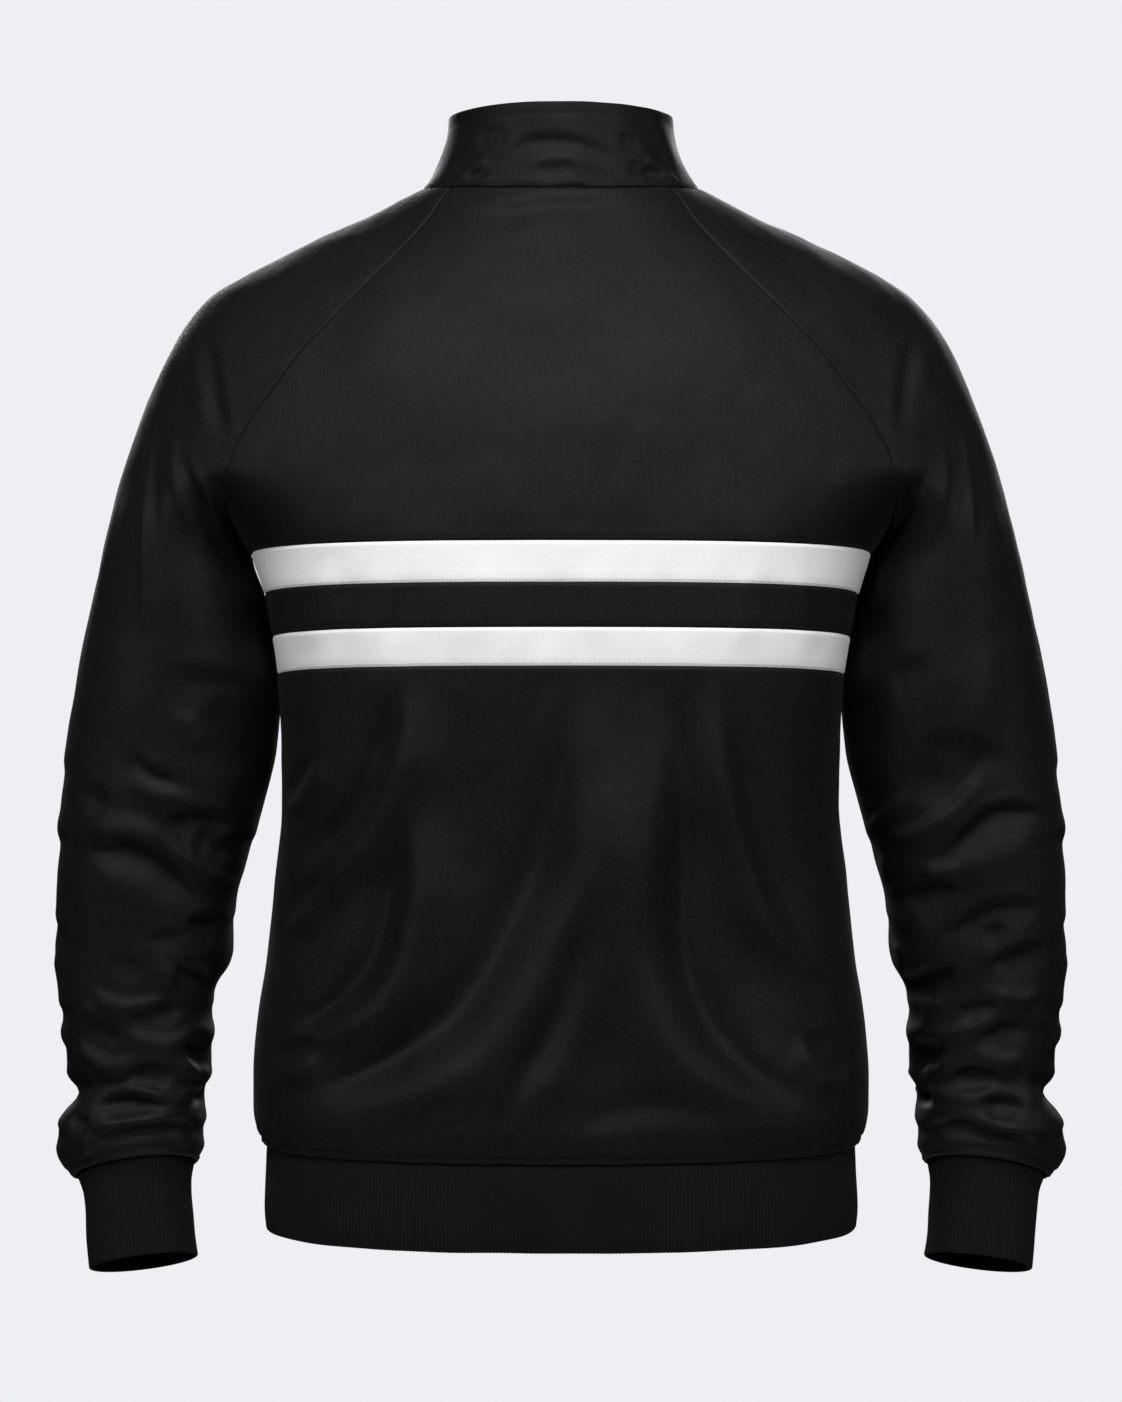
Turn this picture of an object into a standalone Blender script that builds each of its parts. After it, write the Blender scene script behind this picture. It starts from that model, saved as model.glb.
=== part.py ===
"""Track jacket: raglan sleeves, stand collar, two bands across the back, ribbed hem and cuffs, full zip.

The jacket keeps the hollow, filled-out form of one that is worn. Each piece that is cut and sewn is one
object: a cloth wall lofted through level sections of a general figure. Metres, +Z up, the back faces +Y,
+X is the wearer's left. The origin is the middle of the neck opening, level with the collar seam at the
back. All heights are measured from there and are negative below it.
"""

from math import pi
from math import radians

import bmesh
import bpy
import numpy as np

# ---------------------------------------------------------------- driving dimensions, metres
SEAM_GAP = 0.0003
BODY_WALL = 0.0012
COLLAR_WALL = 0.0024
RIB_WALL = 0.0020
RAGLAN_TRIM = 0.0009         # half a seam gap as a share of the angle at which the raglan seam lies
SIDE_TRIM = 0.0012           # half the gap of the side seam as a share of the depth of its section
SEAM_MARGIN = 0.005          # narrow row of faces along a curved sewn edge
SIDE_MARGIN = 0.012          # narrow column along a zip edge, as a share of a full round
ZIP_MARGIN = 0.06            # the same on a front, as a share of its width; it covers the zip's tape
COLLAR_PITCH = 0.013
YOKE_PITCH = 0.024           # height of a row of faces on the yoke
ARMPIT_PITCH = 0.0122
PANEL_PITCH = 0.036
ARM_PITCH = 0.022
BACK_COLUMNS = 16
FRONT_COLUMNS = 7
SLEEVE_COLUMNS = 14
CUFF_COLUMNS = 16
COLLAR_COLUMNS = 28
HEM_COLUMNS = 28

NECK_HEIGHT = 0.009          # collar seam on top of the shoulder
CLEFT_HEIGHT = -0.180        # here the arm starts to part from the body
UNDERARM_HEIGHT = -0.2409    # also where the upper band's top edge reaches the side seam
HEM_SEAM_HEIGHT = -0.636
HEM_BOTTOM_HEIGHT = -0.693
CUFF_SEAM_HEIGHT = -0.660
CUFF_BOTTOM_HEIGHT = -0.7225
SHOULDER_ROUNDING = 1.5      # power of the cosine by which a yoke section dips to back and front
PARTING_FADE = 4             # how quickly the armpit's pointed parting evens out away from the seam

BAND_DROOP = 0.0053          # bands hang lower at the side seams than at the middle of the back
BAND_EDGES = (-0.2356, -0.2623, -0.2909, -0.3157)

COLLAR_TOP_BACK = 0.057
COLLAR_TOP_FRONT = 0.030
COLLAR_TOP_HALF_WIDTH = 0.0765
COLLAR_TOP_BACK_DEPTH = 0.0715
COLLAR_TOP_FRONT_DEPTH = 0.0810
COLLAR_FLARE = 2.0           # how quickly the collar widens towards its seam

# Level sections of the yoke, down to the cleft. height: at the shoulder ridge; half_width: out to the
# ridge; back, front: depth from the axis; back_rise, front_rise: how the section dips at the middle of
# the back and front; back_seam, front_seam: degrees from the middle of the back or front to the raglan
# seam.
YOKE_COLUMNS = ("height", "half_width", "back", "front", "back_rise", "front_rise", "back_seam", "front_seam")
YOKE_SECTIONS = (
    (0.009, 0.0945, 0.0750, 0.0830, -0.009, -0.044, 50.5, 48.0),
    (-0.010, 0.1325, 0.0870, 0.0920, -0.018, -0.047, 42.5, 43.0),
    (-0.031, 0.1785, 0.1020, 0.1010, -0.027, -0.048, 39.5, 40.0),
    (-0.050, 0.2165, 0.1128, 0.1085, -0.032, -0.049, 38.5, 38.5),
    (-0.066, 0.2395, 0.1195, 0.1140, -0.034, -0.048, 39.0, 38.5),
    (-0.090, 0.2590, 0.1260, 0.1205, -0.030, -0.042, 41.0, 40.0),
    (-0.120, 0.2740, 0.1320, 0.1270, -0.021, -0.031, 43.0, 42.0),
    (-0.150, 0.2862, 0.1365, 0.1305, -0.0125, -0.0195, 45.5, 44.5),
    (-0.180, 0.2958, 0.1395, 0.1330, -0.0055, -0.0095, 47.0, 46.5),
    (-0.210, 0.3038, 0.1421, 0.1362, -0.0015, -0.003, 47.0, 46.5),
    (-0.240, 0.3115, 0.1440, 0.1380, 0.000, 0.000, 47.0, 46.5),
)

# Level sections of the body below the cleft, down to the hem seam. side: how far behind the middle plane
# the section is widest; fullness: power of its sine and cosine, 1 being an oval and less a squarer form.
TORSO_COLUMNS = ("height", "half_width", "back", "front", "side", "fullness")
TORSO_SECTIONS = (
    (-0.180, 0.2200, 0.1395, 0.1330, -0.008, 0.667),
    (-0.210, 0.2148, 0.1421, 0.1362, -0.008, 0.680),
    (-0.241, 0.2088, 0.1440, 0.1380, -0.008, 0.700),
    (-0.266, 0.2003, 0.1448, 0.1380, 0.004, 0.715),
    (-0.294, 0.1946, 0.1443, 0.1375, 0.010, 0.730),
    (-0.322, 0.1905, 0.1425, 0.1365, 0.010, 0.750),
    (-0.371, 0.1880, 0.1385, 0.1355, 0.006, 0.780),
    (-0.405, 0.1882, 0.1345, 0.1345, 0.002, 0.800),
    (-0.456, 0.1932, 0.1290, 0.1345, 0.000, 0.820),
    (-0.507, 0.1988, 0.1270, 0.1350, 0.000, 0.820),
    (-0.558, 0.2060, 0.1280, 0.1360, 0.000, 0.820),
    (-0.592, 0.2084, 0.1305, 0.1370, 0.000, 0.820),
    (-0.612, 0.2082, 0.1305, 0.1365, 0.000, 0.820),
    (-0.626, 0.2060, 0.1280, 0.1340, 0.000, 0.820),
    (-0.636, 0.1998, 0.1235, 0.1290, 0.000, 0.820),
)

# Level sections of the ribbed hem.
HEM_SECTIONS = (
    (-0.636, 0.1990, 0.1230, 0.1285, 0.000, 0.820),
    (-0.650, 0.1994, 0.1245, 0.1295, 0.000, 0.820),
    (-0.680, 0.2005, 0.1255, 0.1300, 0.000, 0.820),
    (-0.693, 0.1995, 0.1240, 0.1290, 0.000, 0.820),
)

# Sections of the sleeve below the cleft. inner, outer: distance from the middle plane; middle, depth: the
# section's centre and half depth, back to front; tip_back, tip_out: rise of the section per metre towards
# the back and towards the outside.
ARM_COLUMNS = ("height", "inner", "outer", "middle", "depth", "tip_back", "tip_out")
ARM_SECTIONS = (
    (-0.180, 0.2200, 0.2958, -0.004, 0.0800, 0.00, 0.00),
    (-0.241, 0.2108, 0.3125, -0.008, 0.0780, 0.00, 0.00),
    (-0.270, 0.2012, 0.3195, -0.011, 0.0780, 0.00, 0.00),
    (-0.303, 0.1955, 0.3270, -0.014, 0.0770, 0.00, 0.00),
    (-0.337, 0.1922, 0.3335, -0.015, 0.0745, 0.00, 0.00),
    (-0.371, 0.1950, 0.3390, -0.016, 0.0700, 0.00, 0.00),
    (-0.405, 0.2030, 0.3420, -0.016, 0.0660, 0.00, 0.00),
    (-0.439, 0.2120, 0.3445, -0.017, 0.0620, 0.02, 0.00),
    (-0.473, 0.2225, 0.3455, -0.019, 0.0580, 0.03, 0.00),
    (-0.508, 0.2255, 0.3470, -0.022, 0.0545, 0.05, 0.00),
    (-0.541, 0.2385, 0.3450, -0.025, 0.0515, 0.08, 0.00),
    (-0.575, 0.2390, 0.3420, -0.028, 0.0495, 0.12, 0.00),
    (-0.592, 0.2405, 0.3390, -0.029, 0.0475, 0.15, -0.02),
    (-0.604, 0.2430, 0.3340, -0.030, 0.0450, 0.18, -0.04),
    (-0.618, 0.2440, 0.3420, -0.030, 0.0480, 0.21, -0.06),
    (-0.632, 0.2440, 0.3485, -0.030, 0.0500, 0.24, -0.08),
    (-0.646, 0.2450, 0.3465, -0.030, 0.0480, 0.28, -0.11),
    (-0.654, 0.2480, 0.3420, -0.029, 0.0440, 0.30, -0.13),
    (-0.660, 0.2515, 0.3340, -0.028, 0.0390, 0.32, -0.14),
)

# Sections of the ribbed cuff.
CUFF_SECTIONS = (
    (-0.660, 0.2525, 0.3325, -0.0280, 0.0370, 0.32, -0.14),
    (-0.672, 0.2545, 0.3280, -0.0250, 0.0330, 0.32, -0.14),
    (-0.700, 0.2525, 0.3250, -0.0200, 0.0320, 0.32, -0.14),
    (-0.7225, 0.2490, 0.3225, -0.0160, 0.0315, 0.32, -0.14),
)

# The largest folds of the lower back: soft ridges along three points seen from behind.
# half_width: of the ridge; swell: how far it stands out.
BACK_FOLDS = (
    {"points": ((-0.018, -0.434), (0.030, -0.510), (0.062, -0.556)), "half_width": 0.020, "swell": 0.006},
    {"points": ((0.062, -0.556), (0.120, -0.580), (0.172, -0.603)), "half_width": 0.018, "swell": 0.007},
    {"points": ((0.106, -0.330), (0.120, -0.377), (0.158, -0.433)), "half_width": 0.018, "swell": 0.005},
    {"points": ((-0.030, -0.516), (0.000, -0.570), (0.028, -0.612)), "half_width": 0.018, "swell": 0.005},
    {"points": ((-0.069, -0.468), (-0.076, -0.540), (-0.116, -0.586)), "half_width": 0.020, "swell": 0.006},
    {"points": ((-0.105, -0.360), (-0.123, -0.434), (-0.168, -0.516)), "half_width": 0.018, "swell": 0.005},
)

# The largest folds of each sleeve. turn: where the fold is widest, as a share of the way round from the
# underarm over the back; reach: half its length in the same measure; sag: how far its ends hang lower.
SLEEVE_FOLDS = (
    {"turn": 0.16, "height": -0.424, "reach": 0.20, "sag": 0.020, "half_width": 0.014, "swell": 0.006},
    {"turn": 0.36, "height": -0.462, "reach": 0.18, "sag": -0.018, "half_width": 0.014, "swell": 0.006},
    {"turn": 0.30, "height": -0.540, "reach": 0.22, "sag": -0.016, "half_width": 0.013, "swell": 0.006},
    {"turn": 0.14, "height": -0.566, "reach": 0.18, "sag": 0.016, "half_width": 0.012, "swell": 0.005},
    {"turn": 0.70, "height": -0.550, "reach": 0.20, "sag": 0.016, "half_width": 0.014, "swell": 0.006},
)

# Zip: each half is a woven tape with its row of teeth along the edge; the slider is closed at the top.
ZIP_OPENING = 0.0045         # from the middle to the edge of the cloth
ZIP_MIDDLE_GAP = 0.00015     # from the middle to the teeth
CHAIN_REACH = 0.0028
CHAIN_SUNK = 0.0002          # how far the teeth lie below the face of the cloth
TAPE_REACH = 0.0130
TAPE_WALL = 0.0008
TAPE_CLEAR = 0.0005          # from the tape to the wall it lies behind
ZIP_END_BELOW_COLLAR = 0.0045

SLIDER_WIDTH = 0.0074
SLIDER_LENGTH = 0.0105
SLIDER_PLATE = 0.0012
SLIDER_CLEAR = 0.0003
BAIL_WIDTH = 0.0018
BAIL_BAR = 0.0010
BAIL_LEG = 0.0012
BAIL_INSIDE = 0.0048
PULL_THICKNESS = 0.0014
PULL_PLAY = 0.0004
PULL_WIDTH = 0.0062
PULL_WINDOW_WIDTH = 0.0030
PULL_WINDOW_LENGTH = 0.0062
PULL_LENGTH = 0.0240
PULL_END_ROUNDING = 5        # segments of a rounded pull corner

BLACK_CLOTH = (0.012, 0.012, 0.015, 1.0)
BLACK_RIB = (0.014, 0.014, 0.016, 1.0)
WHITE_CLOTH = (0.88, 0.88, 0.90, 1.0)
BLACK_TAPE = (0.010, 0.010, 0.012, 1.0)
DARK_METAL = (0.060, 0.060, 0.065, 1.0)


# ---------------------------------------------------------------- smooth tables
def column(sections, names, name):
    """Return the values of one named column of a table."""
    place = names.index(name)
    return np.array([row[place] for row in sections])


def smooth(keys, values, at):
    """Read a smooth curve through (keys, values), which never swings past its neighbours.

    Cubic Hermite pieces whose slopes are the harmonic mean of the neighbouring slopes.
    """
    order = np.argsort(keys)
    keys = np.asarray(keys, dtype=float)[order]
    values = np.asarray(values, dtype=float)[order]
    at = np.clip(np.asarray(at, dtype=float), keys[0], keys[-1])
    steps = np.diff(keys)
    slopes = np.diff(values) / steps
    product = slopes[:-1] * slopes[1:]
    total = slopes[:-1] + slopes[1:]
    safe = np.where(product > 0, total, 1.0)
    inner = np.where(product > 0, 2 * product / safe, 0.0)
    tangents = np.concatenate(([slopes[0]], inner, [slopes[-1]]))
    place = np.clip(np.searchsorted(keys, at) - 1, 0, len(steps) - 1)
    step = steps[place]
    share = (at - keys[place]) / step
    start = (1 + 2 * share) * (1 - share) ** 2 * values[place]
    start += share * (1 - share) ** 2 * step * tangents[place]
    end = share ** 2 * (3 - 2 * share) * values[place + 1]
    end += share ** 2 * (share - 1) * step * tangents[place + 1]
    return start + end


def read(sections, names, name, height):
    """Read a named column of a section table at a height."""
    return smooth(column(sections, names, "height"), column(sections, names, name), height)


# ---------------------------------------------------------------- the form
def parting(height, nearness):
    """How far the arm has parted from the body: 0 at the cleft and above, 1 at the underarm.

    nearness: 1 at the raglan seam, where the parting ends in a point, and 0 far from it, where it is even.
    """
    share = np.clip((CLEFT_HEIGHT - height) / (CLEFT_HEIGHT - UNDERARM_HEIGHT), 0.0, 1.0)
    pointed = 1.0 - np.cos(share * pi / 2)
    even = share ** 2 * (3 - 2 * share)
    return even + (pointed - even) * nearness ** PARTING_FADE


def yoke(height, angle):
    """Point of the undivided shoulder form; angle runs from the middle of the back to that of the front."""
    cosine = np.cos(angle)
    at_back = cosine > 0
    depth = np.where(at_back, read(YOKE_SECTIONS, YOKE_COLUMNS, "back", height),
                     read(YOKE_SECTIONS, YOKE_COLUMNS, "front", height))
    rise = np.where(at_back, read(YOKE_SECTIONS, YOKE_COLUMNS, "back_rise", height),
                    read(YOKE_SECTIONS, YOKE_COLUMNS, "front_rise", height))
    across = read(YOKE_SECTIONS, YOKE_COLUMNS, "half_width", height) * np.sin(angle)
    up = height + rise * np.abs(cosine) ** SHOULDER_ROUNDING
    return np.stack([across, depth * cosine, up], axis=-1)


def ring(sections, height, angle, swell=0.0):
    """Point of a level body section, a full oval swollen outwards by a fold."""
    fullness = read(sections, TORSO_COLUMNS, "fullness", height)
    sine = np.sign(angle) * np.abs(np.sin(angle)) ** fullness
    cosine = np.cos(angle)
    cosine = np.sign(cosine) * np.abs(cosine) ** fullness
    side = read(sections, TORSO_COLUMNS, "side", height)
    depth = np.where(cosine > 0, read(sections, TORSO_COLUMNS, "back", height) - side,
                     read(sections, TORSO_COLUMNS, "front", height) + side)
    across = read(sections, TORSO_COLUMNS, "half_width", height) + swell
    return np.stack([across * sine, side + (depth + swell) * cosine, height + 0 * angle], axis=-1)


def side_angle(height):
    """Angle from the middle of the back or front to the side seam, half a gap short of a right angle."""
    return np.arccos(SIDE_TRIM ** (1 / read(TORSO_SECTIONS, TORSO_COLUMNS, "fullness", height)))


def arm(sections, height, turn, swell=0.0):
    """Point of a sleeve section; turn runs once round, from the underarm over the back."""
    inner = read(sections, ARM_COLUMNS, "inner", height)
    outer = read(sections, ARM_COLUMNS, "outer", height)
    half = (outer - inner) / 2
    across = -(half + swell) * np.cos(2 * pi * turn)
    along = (read(sections, ARM_COLUMNS, "depth", height) + swell) * np.sin(2 * pi * turn)
    up = height + read(sections, ARM_COLUMNS, "tip_back", height) * along
    up = up + read(sections, ARM_COLUMNS, "tip_out", height) * across
    middle = read(sections, ARM_COLUMNS, "middle", height)
    return np.stack([inner + half + across, middle + along, up], axis=-1)


def away_from_line(across, up, points):
    """Distance to a line of three points and the share of its length at the nearest place."""
    nearest = np.full(np.shape(across), np.inf)
    share = np.zeros(np.shape(across))
    for number in range(len(points) - 1):
        start = np.array(points[number])
        run = np.array(points[number + 1]) - start
        along = ((across - start[0]) * run[0] + (up - start[1]) * run[1]) / run.dot(run)
        along = np.clip(along, 0.0, 1.0)
        distance = np.hypot(across - start[0] - along * run[0], up - start[1] - along * run[1])
        closer = distance < nearest
        nearest = np.where(closer, distance, nearest)
        share = np.where(closer, (number + along) / (len(points) - 1), share)
    return nearest, share


def back_swell(across, up):
    """Sum of the folds of the lower back at a place seen from behind."""
    total = np.zeros(np.shape(across))
    for fold in BACK_FOLDS:
        distance, share = away_from_line(across, up, fold["points"])
        fade = np.sin(pi * np.clip(0.15 + 0.7 * share, 0.0, 1.0))
        total = total + fold["swell"] * fade * np.exp(-(distance / fold["half_width"]) ** 2)
    return total


def sleeve_swell(height, turn):
    """Sum of the folds of a sleeve at a place round it."""
    total = np.zeros(np.shape(turn))
    for fold in SLEEVE_FOLDS:
        reach = (turn - fold["turn"]) / fold["reach"]
        middle = fold["height"] - fold["sag"] * reach ** 2
        ridge = np.exp(-((height - middle) / fold["half_width"]) ** 2)
        total = total + fold["swell"] * ridge * np.exp(-(reach ** 2))
    return total


def back_point(height, share):
    """Point of the back; share is -1 and 1 at the raglan seams or side seams, 0 in the middle."""
    seam = np.radians(read(YOKE_SECTIONS, YOKE_COLUMNS, "back_seam", height)) * (1 - RAGLAN_TRIM)
    high = yoke(height, np.sin(share * pi / 2) * seam)
    angle = share * side_angle(height)
    half_width = read(TORSO_SECTIONS, TORSO_COLUMNS, "half_width", height)
    low = ring(TORSO_SECTIONS, height, angle, back_swell(half_width * np.sin(angle), height))
    mix = parting(height, np.abs(share))[..., None]
    return high * (1 - mix) + low * mix


def front_point(height, share):
    """Point of the left front; share is 0 in the middle and 1 at the raglan seam or side seam."""
    seam = np.radians(read(YOKE_SECTIONS, YOKE_COLUMNS, "front_seam", height)) * (1 - RAGLAN_TRIM)
    high = yoke(height, pi - np.sin(share * pi / 2) * seam)
    low = ring(TORSO_SECTIONS, height, pi - share * side_angle(height))
    mix = parting(height, share)[..., None]
    return high * (1 - mix) + low * mix


def sleeve_point(height, turn):
    """Point of the left sleeve; turn is 0 at the back seam and 1 at the front seam."""
    start = np.radians(read(YOKE_SECTIONS, YOKE_COLUMNS, "back_seam", height)) * (1 + RAGLAN_TRIM)
    end = pi - np.radians(read(YOKE_SECTIONS, YOKE_COLUMNS, "front_seam", height)) * (1 + RAGLAN_TRIM)
    high = yoke(height, start + (end - start) * (1 - np.cos(pi * turn)) / 2)
    low = arm(ARM_SECTIONS, height, turn, sleeve_swell(height, turn))
    mix = parting(height, np.abs(2 * turn - 1))[..., None]
    return high * (1 - mix) + low * mix


def collar_point(rise, angle):
    """Point of the collar; rise is 0 at its seam and 1 at its top edge, angle 0 at the back."""
    seam = yoke(np.full(np.shape(angle), NECK_HEIGHT), np.abs(angle))
    seam[..., 0] *= np.sign(angle)
    cosine = np.cos(angle)
    depth = np.where(cosine > 0, COLLAR_TOP_BACK_DEPTH, COLLAR_TOP_FRONT_DEPTH)
    dip = (COLLAR_TOP_BACK - COLLAR_TOP_FRONT) * np.where(cosine < 0, cosine ** 2, 0.0)
    top = np.stack([COLLAR_TOP_HALF_WIDTH * np.sin(angle), depth * cosine, COLLAR_TOP_BACK - dip], axis=-1)
    level = seam + (top - seam) * np.asarray(rise)[..., None]
    spread = (1 - rise) ** COLLAR_FLARE - (1 - rise)
    level[..., :2] += spread[..., None] * (seam - top)[..., :2]
    return level


# ---------------------------------------------------------------- grids of faces
def steps_down(top, bottom, pitch, margins):
    """Shares from 0 to 1 in even steps of about one pitch, with a narrow step at each end named.

    margins: widths of the narrow first and last step, 0 for none.
    """
    length = top - bottom
    count = max(1, round((length - sum(margins)) / pitch))
    inner = np.linspace(margins[0] / length, 1 - margins[1] / length, count + 1)
    first = [0.0] if margins[0] else []
    last = [1.0] if margins[1] else []
    return np.concatenate((first, inner, last))


def heights_between(top, bottom, pitch, margins):
    """Heights of the rows between two level edges."""
    return top + (bottom - top) * steps_down(top, bottom, pitch, margins)


def even_shares(count, margin):
    """Shares from 0 to 1 in even steps, with a narrow first and last one."""
    return np.concatenate(([0.0], np.linspace(margin, 1 - margin, count + 1), [1.0]))


def cloth(name, points, wall, material, collection, closed_from=None):
    """Make a wall of cloth from rows of points, top row first, clockwise seen from above.

    closed_from: the row from which the first and last points of each row are one point.
    """
    rows, columns = points.shape[:2]
    shell = bmesh.new()
    grid = []
    for row in range(rows):
        line = [shell.verts.new(points[row, place]) for place in range(columns)]
        if closed_from is not None and row >= closed_from:
            shell.verts.remove(line[-1])
            line[-1] = line[0]
        grid.append(line)
    for row in range(rows - 1):
        for place in range(columns - 1):
            corners = [grid[row][place], grid[row][place + 1]]
            corners += [grid[row + 1][place + 1], grid[row + 1][place]]
            shell.faces.new(corners)
    mesh = bpy.data.meshes.new(name)
    shell.to_mesh(mesh)
    shell.free()
    mesh.shade_smooth()
    mesh.materials.append(material)
    piece = bpy.data.objects.new(name, mesh)
    collection.objects.link(piece)
    thickness = piece.modifiers.new("cloth wall", "SOLIDIFY")
    thickness.thickness = wall
    thickness.offset = -1.0
    return piece


def mirrored(points):
    """Mirror rows of points across the middle plane and keep them clockwise."""
    flipped = points[:, ::-1].copy()
    flipped[..., 0] *= -1
    return flipped


# ---------------------------------------------------------------- back
def side_steps():
    """Shares down each of the five stretches of the side edge: yoke, three strips and lower panel."""
    edges = side_edges()
    yoke_rows = heights_between(NECK_HEIGHT, CLEFT_HEIGHT, YOKE_PITCH, (SEAM_MARGIN, 0))
    armpit_rows = heights_between(CLEFT_HEIGHT, UNDERARM_HEIGHT, ARMPIT_PITCH, (0, 0))
    rows = np.concatenate((yoke_rows, armpit_rows[1:]))
    steps = [(rows - NECK_HEIGHT) / (UNDERARM_HEIGHT - NECK_HEIGHT)]
    margins = ((0, 0), (0, 0), (0, 0), (0, SEAM_MARGIN))
    for top, bottom, margin in zip(edges[1:-1], edges[2:], margins):
        steps.append(steps_down(top, bottom, PANEL_PITCH, margin))
    return steps


def side_edges():
    """Heights at the side of the back's horizontal edges, neck to hem."""
    bands = [edge - BAND_DROOP for edge in BAND_EDGES]
    return [NECK_HEIGHT] + bands + [HEM_SEAM_HEIGHT]


def back_points(number):
    """Points of one of the five back pieces, counted from the neck down."""
    droops = (0.0, BAND_DROOP, BAND_DROOP, BAND_DROOP, BAND_DROOP, 0.0)
    middles = (NECK_HEIGHT,) + BAND_EDGES + (HEM_SEAM_HEIGHT,)
    across = np.linspace(-1.0, 1.0, BACK_COLUMNS + 1)
    down = side_steps()[number]
    shares = np.broadcast_to(across, (len(down), len(across)))
    upper = middles[number] - droops[number] * across ** 2 - SEAM_GAP / 2
    lower = middles[number + 1] - droops[number + 1] * across ** 2 + SEAM_GAP / 2
    points = back_point(upper + (lower - upper) * down[:, None], np.abs(shares))
    points[..., 0] *= np.sign(shares)
    return points


def make_back(black, white, collection):
    """Make the five pieces of the back: yoke panel, two bands, the strip between and the lower panel."""
    names = ("back_upper", "back_band_upper", "back_strip", "back_band_lower", "back_lower")
    finishes = (black, white, black, white, black)
    for number, name in enumerate(names):
        cloth(name, back_points(number), BODY_WALL, finishes[number], collection)


# ---------------------------------------------------------------- fronts and sleeves
def front_heights():
    """Heights of the rows of a front, which match those of the back at the side."""
    edges = side_edges()
    edges[0] -= SEAM_GAP / 2
    edges[-1] += SEAM_GAP / 2
    rows = [edges[0]]
    for top, bottom, steps in zip(edges[:-1], edges[1:], side_steps()):
        rows.extend(top + (bottom - top) * steps[1:])
    return np.array(rows)


def front_points():
    """Points of the left front, from the side to the zip."""
    height = front_heights()
    across = np.concatenate((np.linspace(1.0, 1 / FRONT_COLUMNS, FRONT_COLUMNS), [ZIP_MARGIN, 0.0]))
    heights = np.broadcast_to(height[:, None], (len(height), len(across)))
    points = front_point(heights, np.broadcast_to(across, heights.shape))
    points[:, -1, 0] = ZIP_OPENING
    return points


def make_fronts(black, collection):
    """Make the two fronts, one the mirror image of the other."""
    points = front_points()
    cloth("front_left", points, BODY_WALL, black, collection)
    cloth("front_right", mirrored(points), BODY_WALL, black, collection)


def sleeve_points():
    """Points of the left sleeve and the number of the row from which it is a closed tube."""
    upper = NECK_HEIGHT - SEAM_GAP / 2
    upper = upper + (UNDERARM_HEIGHT - upper) * side_steps()[0]
    lower = heights_between(UNDERARM_HEIGHT, CUFF_SEAM_HEIGHT + SEAM_GAP / 2, ARM_PITCH, (0, SEAM_MARGIN))
    height = np.concatenate((upper, lower[1:]))
    turn = np.linspace(0.0, 1.0, SLEEVE_COLUMNS + 1)
    heights, turns = np.broadcast_arrays(height[:, None], turn)
    return sleeve_point(heights, turns), len(upper) - 1


def make_sleeves(black, collection):
    """Make the two raglan sleeves, one the mirror image of the other."""
    points, closed_from = sleeve_points()
    cloth("sleeve_left", points, BODY_WALL, black, collection, closed_from)
    cloth("sleeve_right", mirrored(points), BODY_WALL, black, collection, closed_from)


# ---------------------------------------------------------------- collar, hem and cuffs
def make_collar(black, collection):
    """Make the stand collar, open at the front for the zip."""
    opening = ZIP_OPENING / COLLAR_TOP_HALF_WIDTH
    around = 2 * even_shares(COLLAR_COLUMNS, SIDE_MARGIN) - 1
    angle = around * (pi - opening)
    height = COLLAR_TOP_BACK - NECK_HEIGHT
    rise = 1 - steps_down(COLLAR_TOP_BACK, NECK_HEIGHT, COLLAR_PITCH, (0, 0))
    rise[-1] = SEAM_GAP / height
    angles = np.broadcast_to(angle, (len(rise), len(angle)))
    rises = np.broadcast_to(rise[:, None], angles.shape)
    points = collar_point(rises, angles)
    points[:, 0, 0] = -ZIP_OPENING
    points[:, -1, 0] = ZIP_OPENING
    cloth("collar", points, COLLAR_WALL, black, collection)


def make_hem(rib, collection):
    """Make the ribbed hem band, open at the front for the zip."""
    opening = ZIP_OPENING / HEM_SECTIONS[1][1]
    angle = (2 * even_shares(HEM_COLUMNS, SIDE_MARGIN) - 1) * (pi - opening)
    height = heights_between(HEM_SEAM_HEIGHT - SEAM_GAP / 2, HEM_BOTTOM_HEIGHT, ARM_PITCH, (0, 0))
    angles = np.broadcast_to(angle, (len(height), len(angle)))
    points = ring(HEM_SECTIONS, np.broadcast_to(height[:, None], angles.shape), angles)
    points[:, 0, 0] = -ZIP_OPENING
    points[:, -1, 0] = ZIP_OPENING
    cloth("hem_rib", points, RIB_WALL, rib, collection)


def make_cuffs(rib, collection):
    """Make the two ribbed cuffs."""
    height = heights_between(CUFF_SEAM_HEIGHT - SEAM_GAP / 2, CUFF_BOTTOM_HEIGHT, ARM_PITCH, (0, 0))
    turn = np.linspace(0.0, 1.0, CUFF_COLUMNS + 1)
    turns = np.broadcast_to(turn, (len(height), len(turn)))
    points = arm(CUFF_SECTIONS, np.broadcast_to(height[:, None], turns.shape), turns)
    cloth("cuff_left", points, RIB_WALL, rib, collection, 0)
    cloth("cuff_right", mirrored(points), RIB_WALL, rib, collection, 0)


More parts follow.
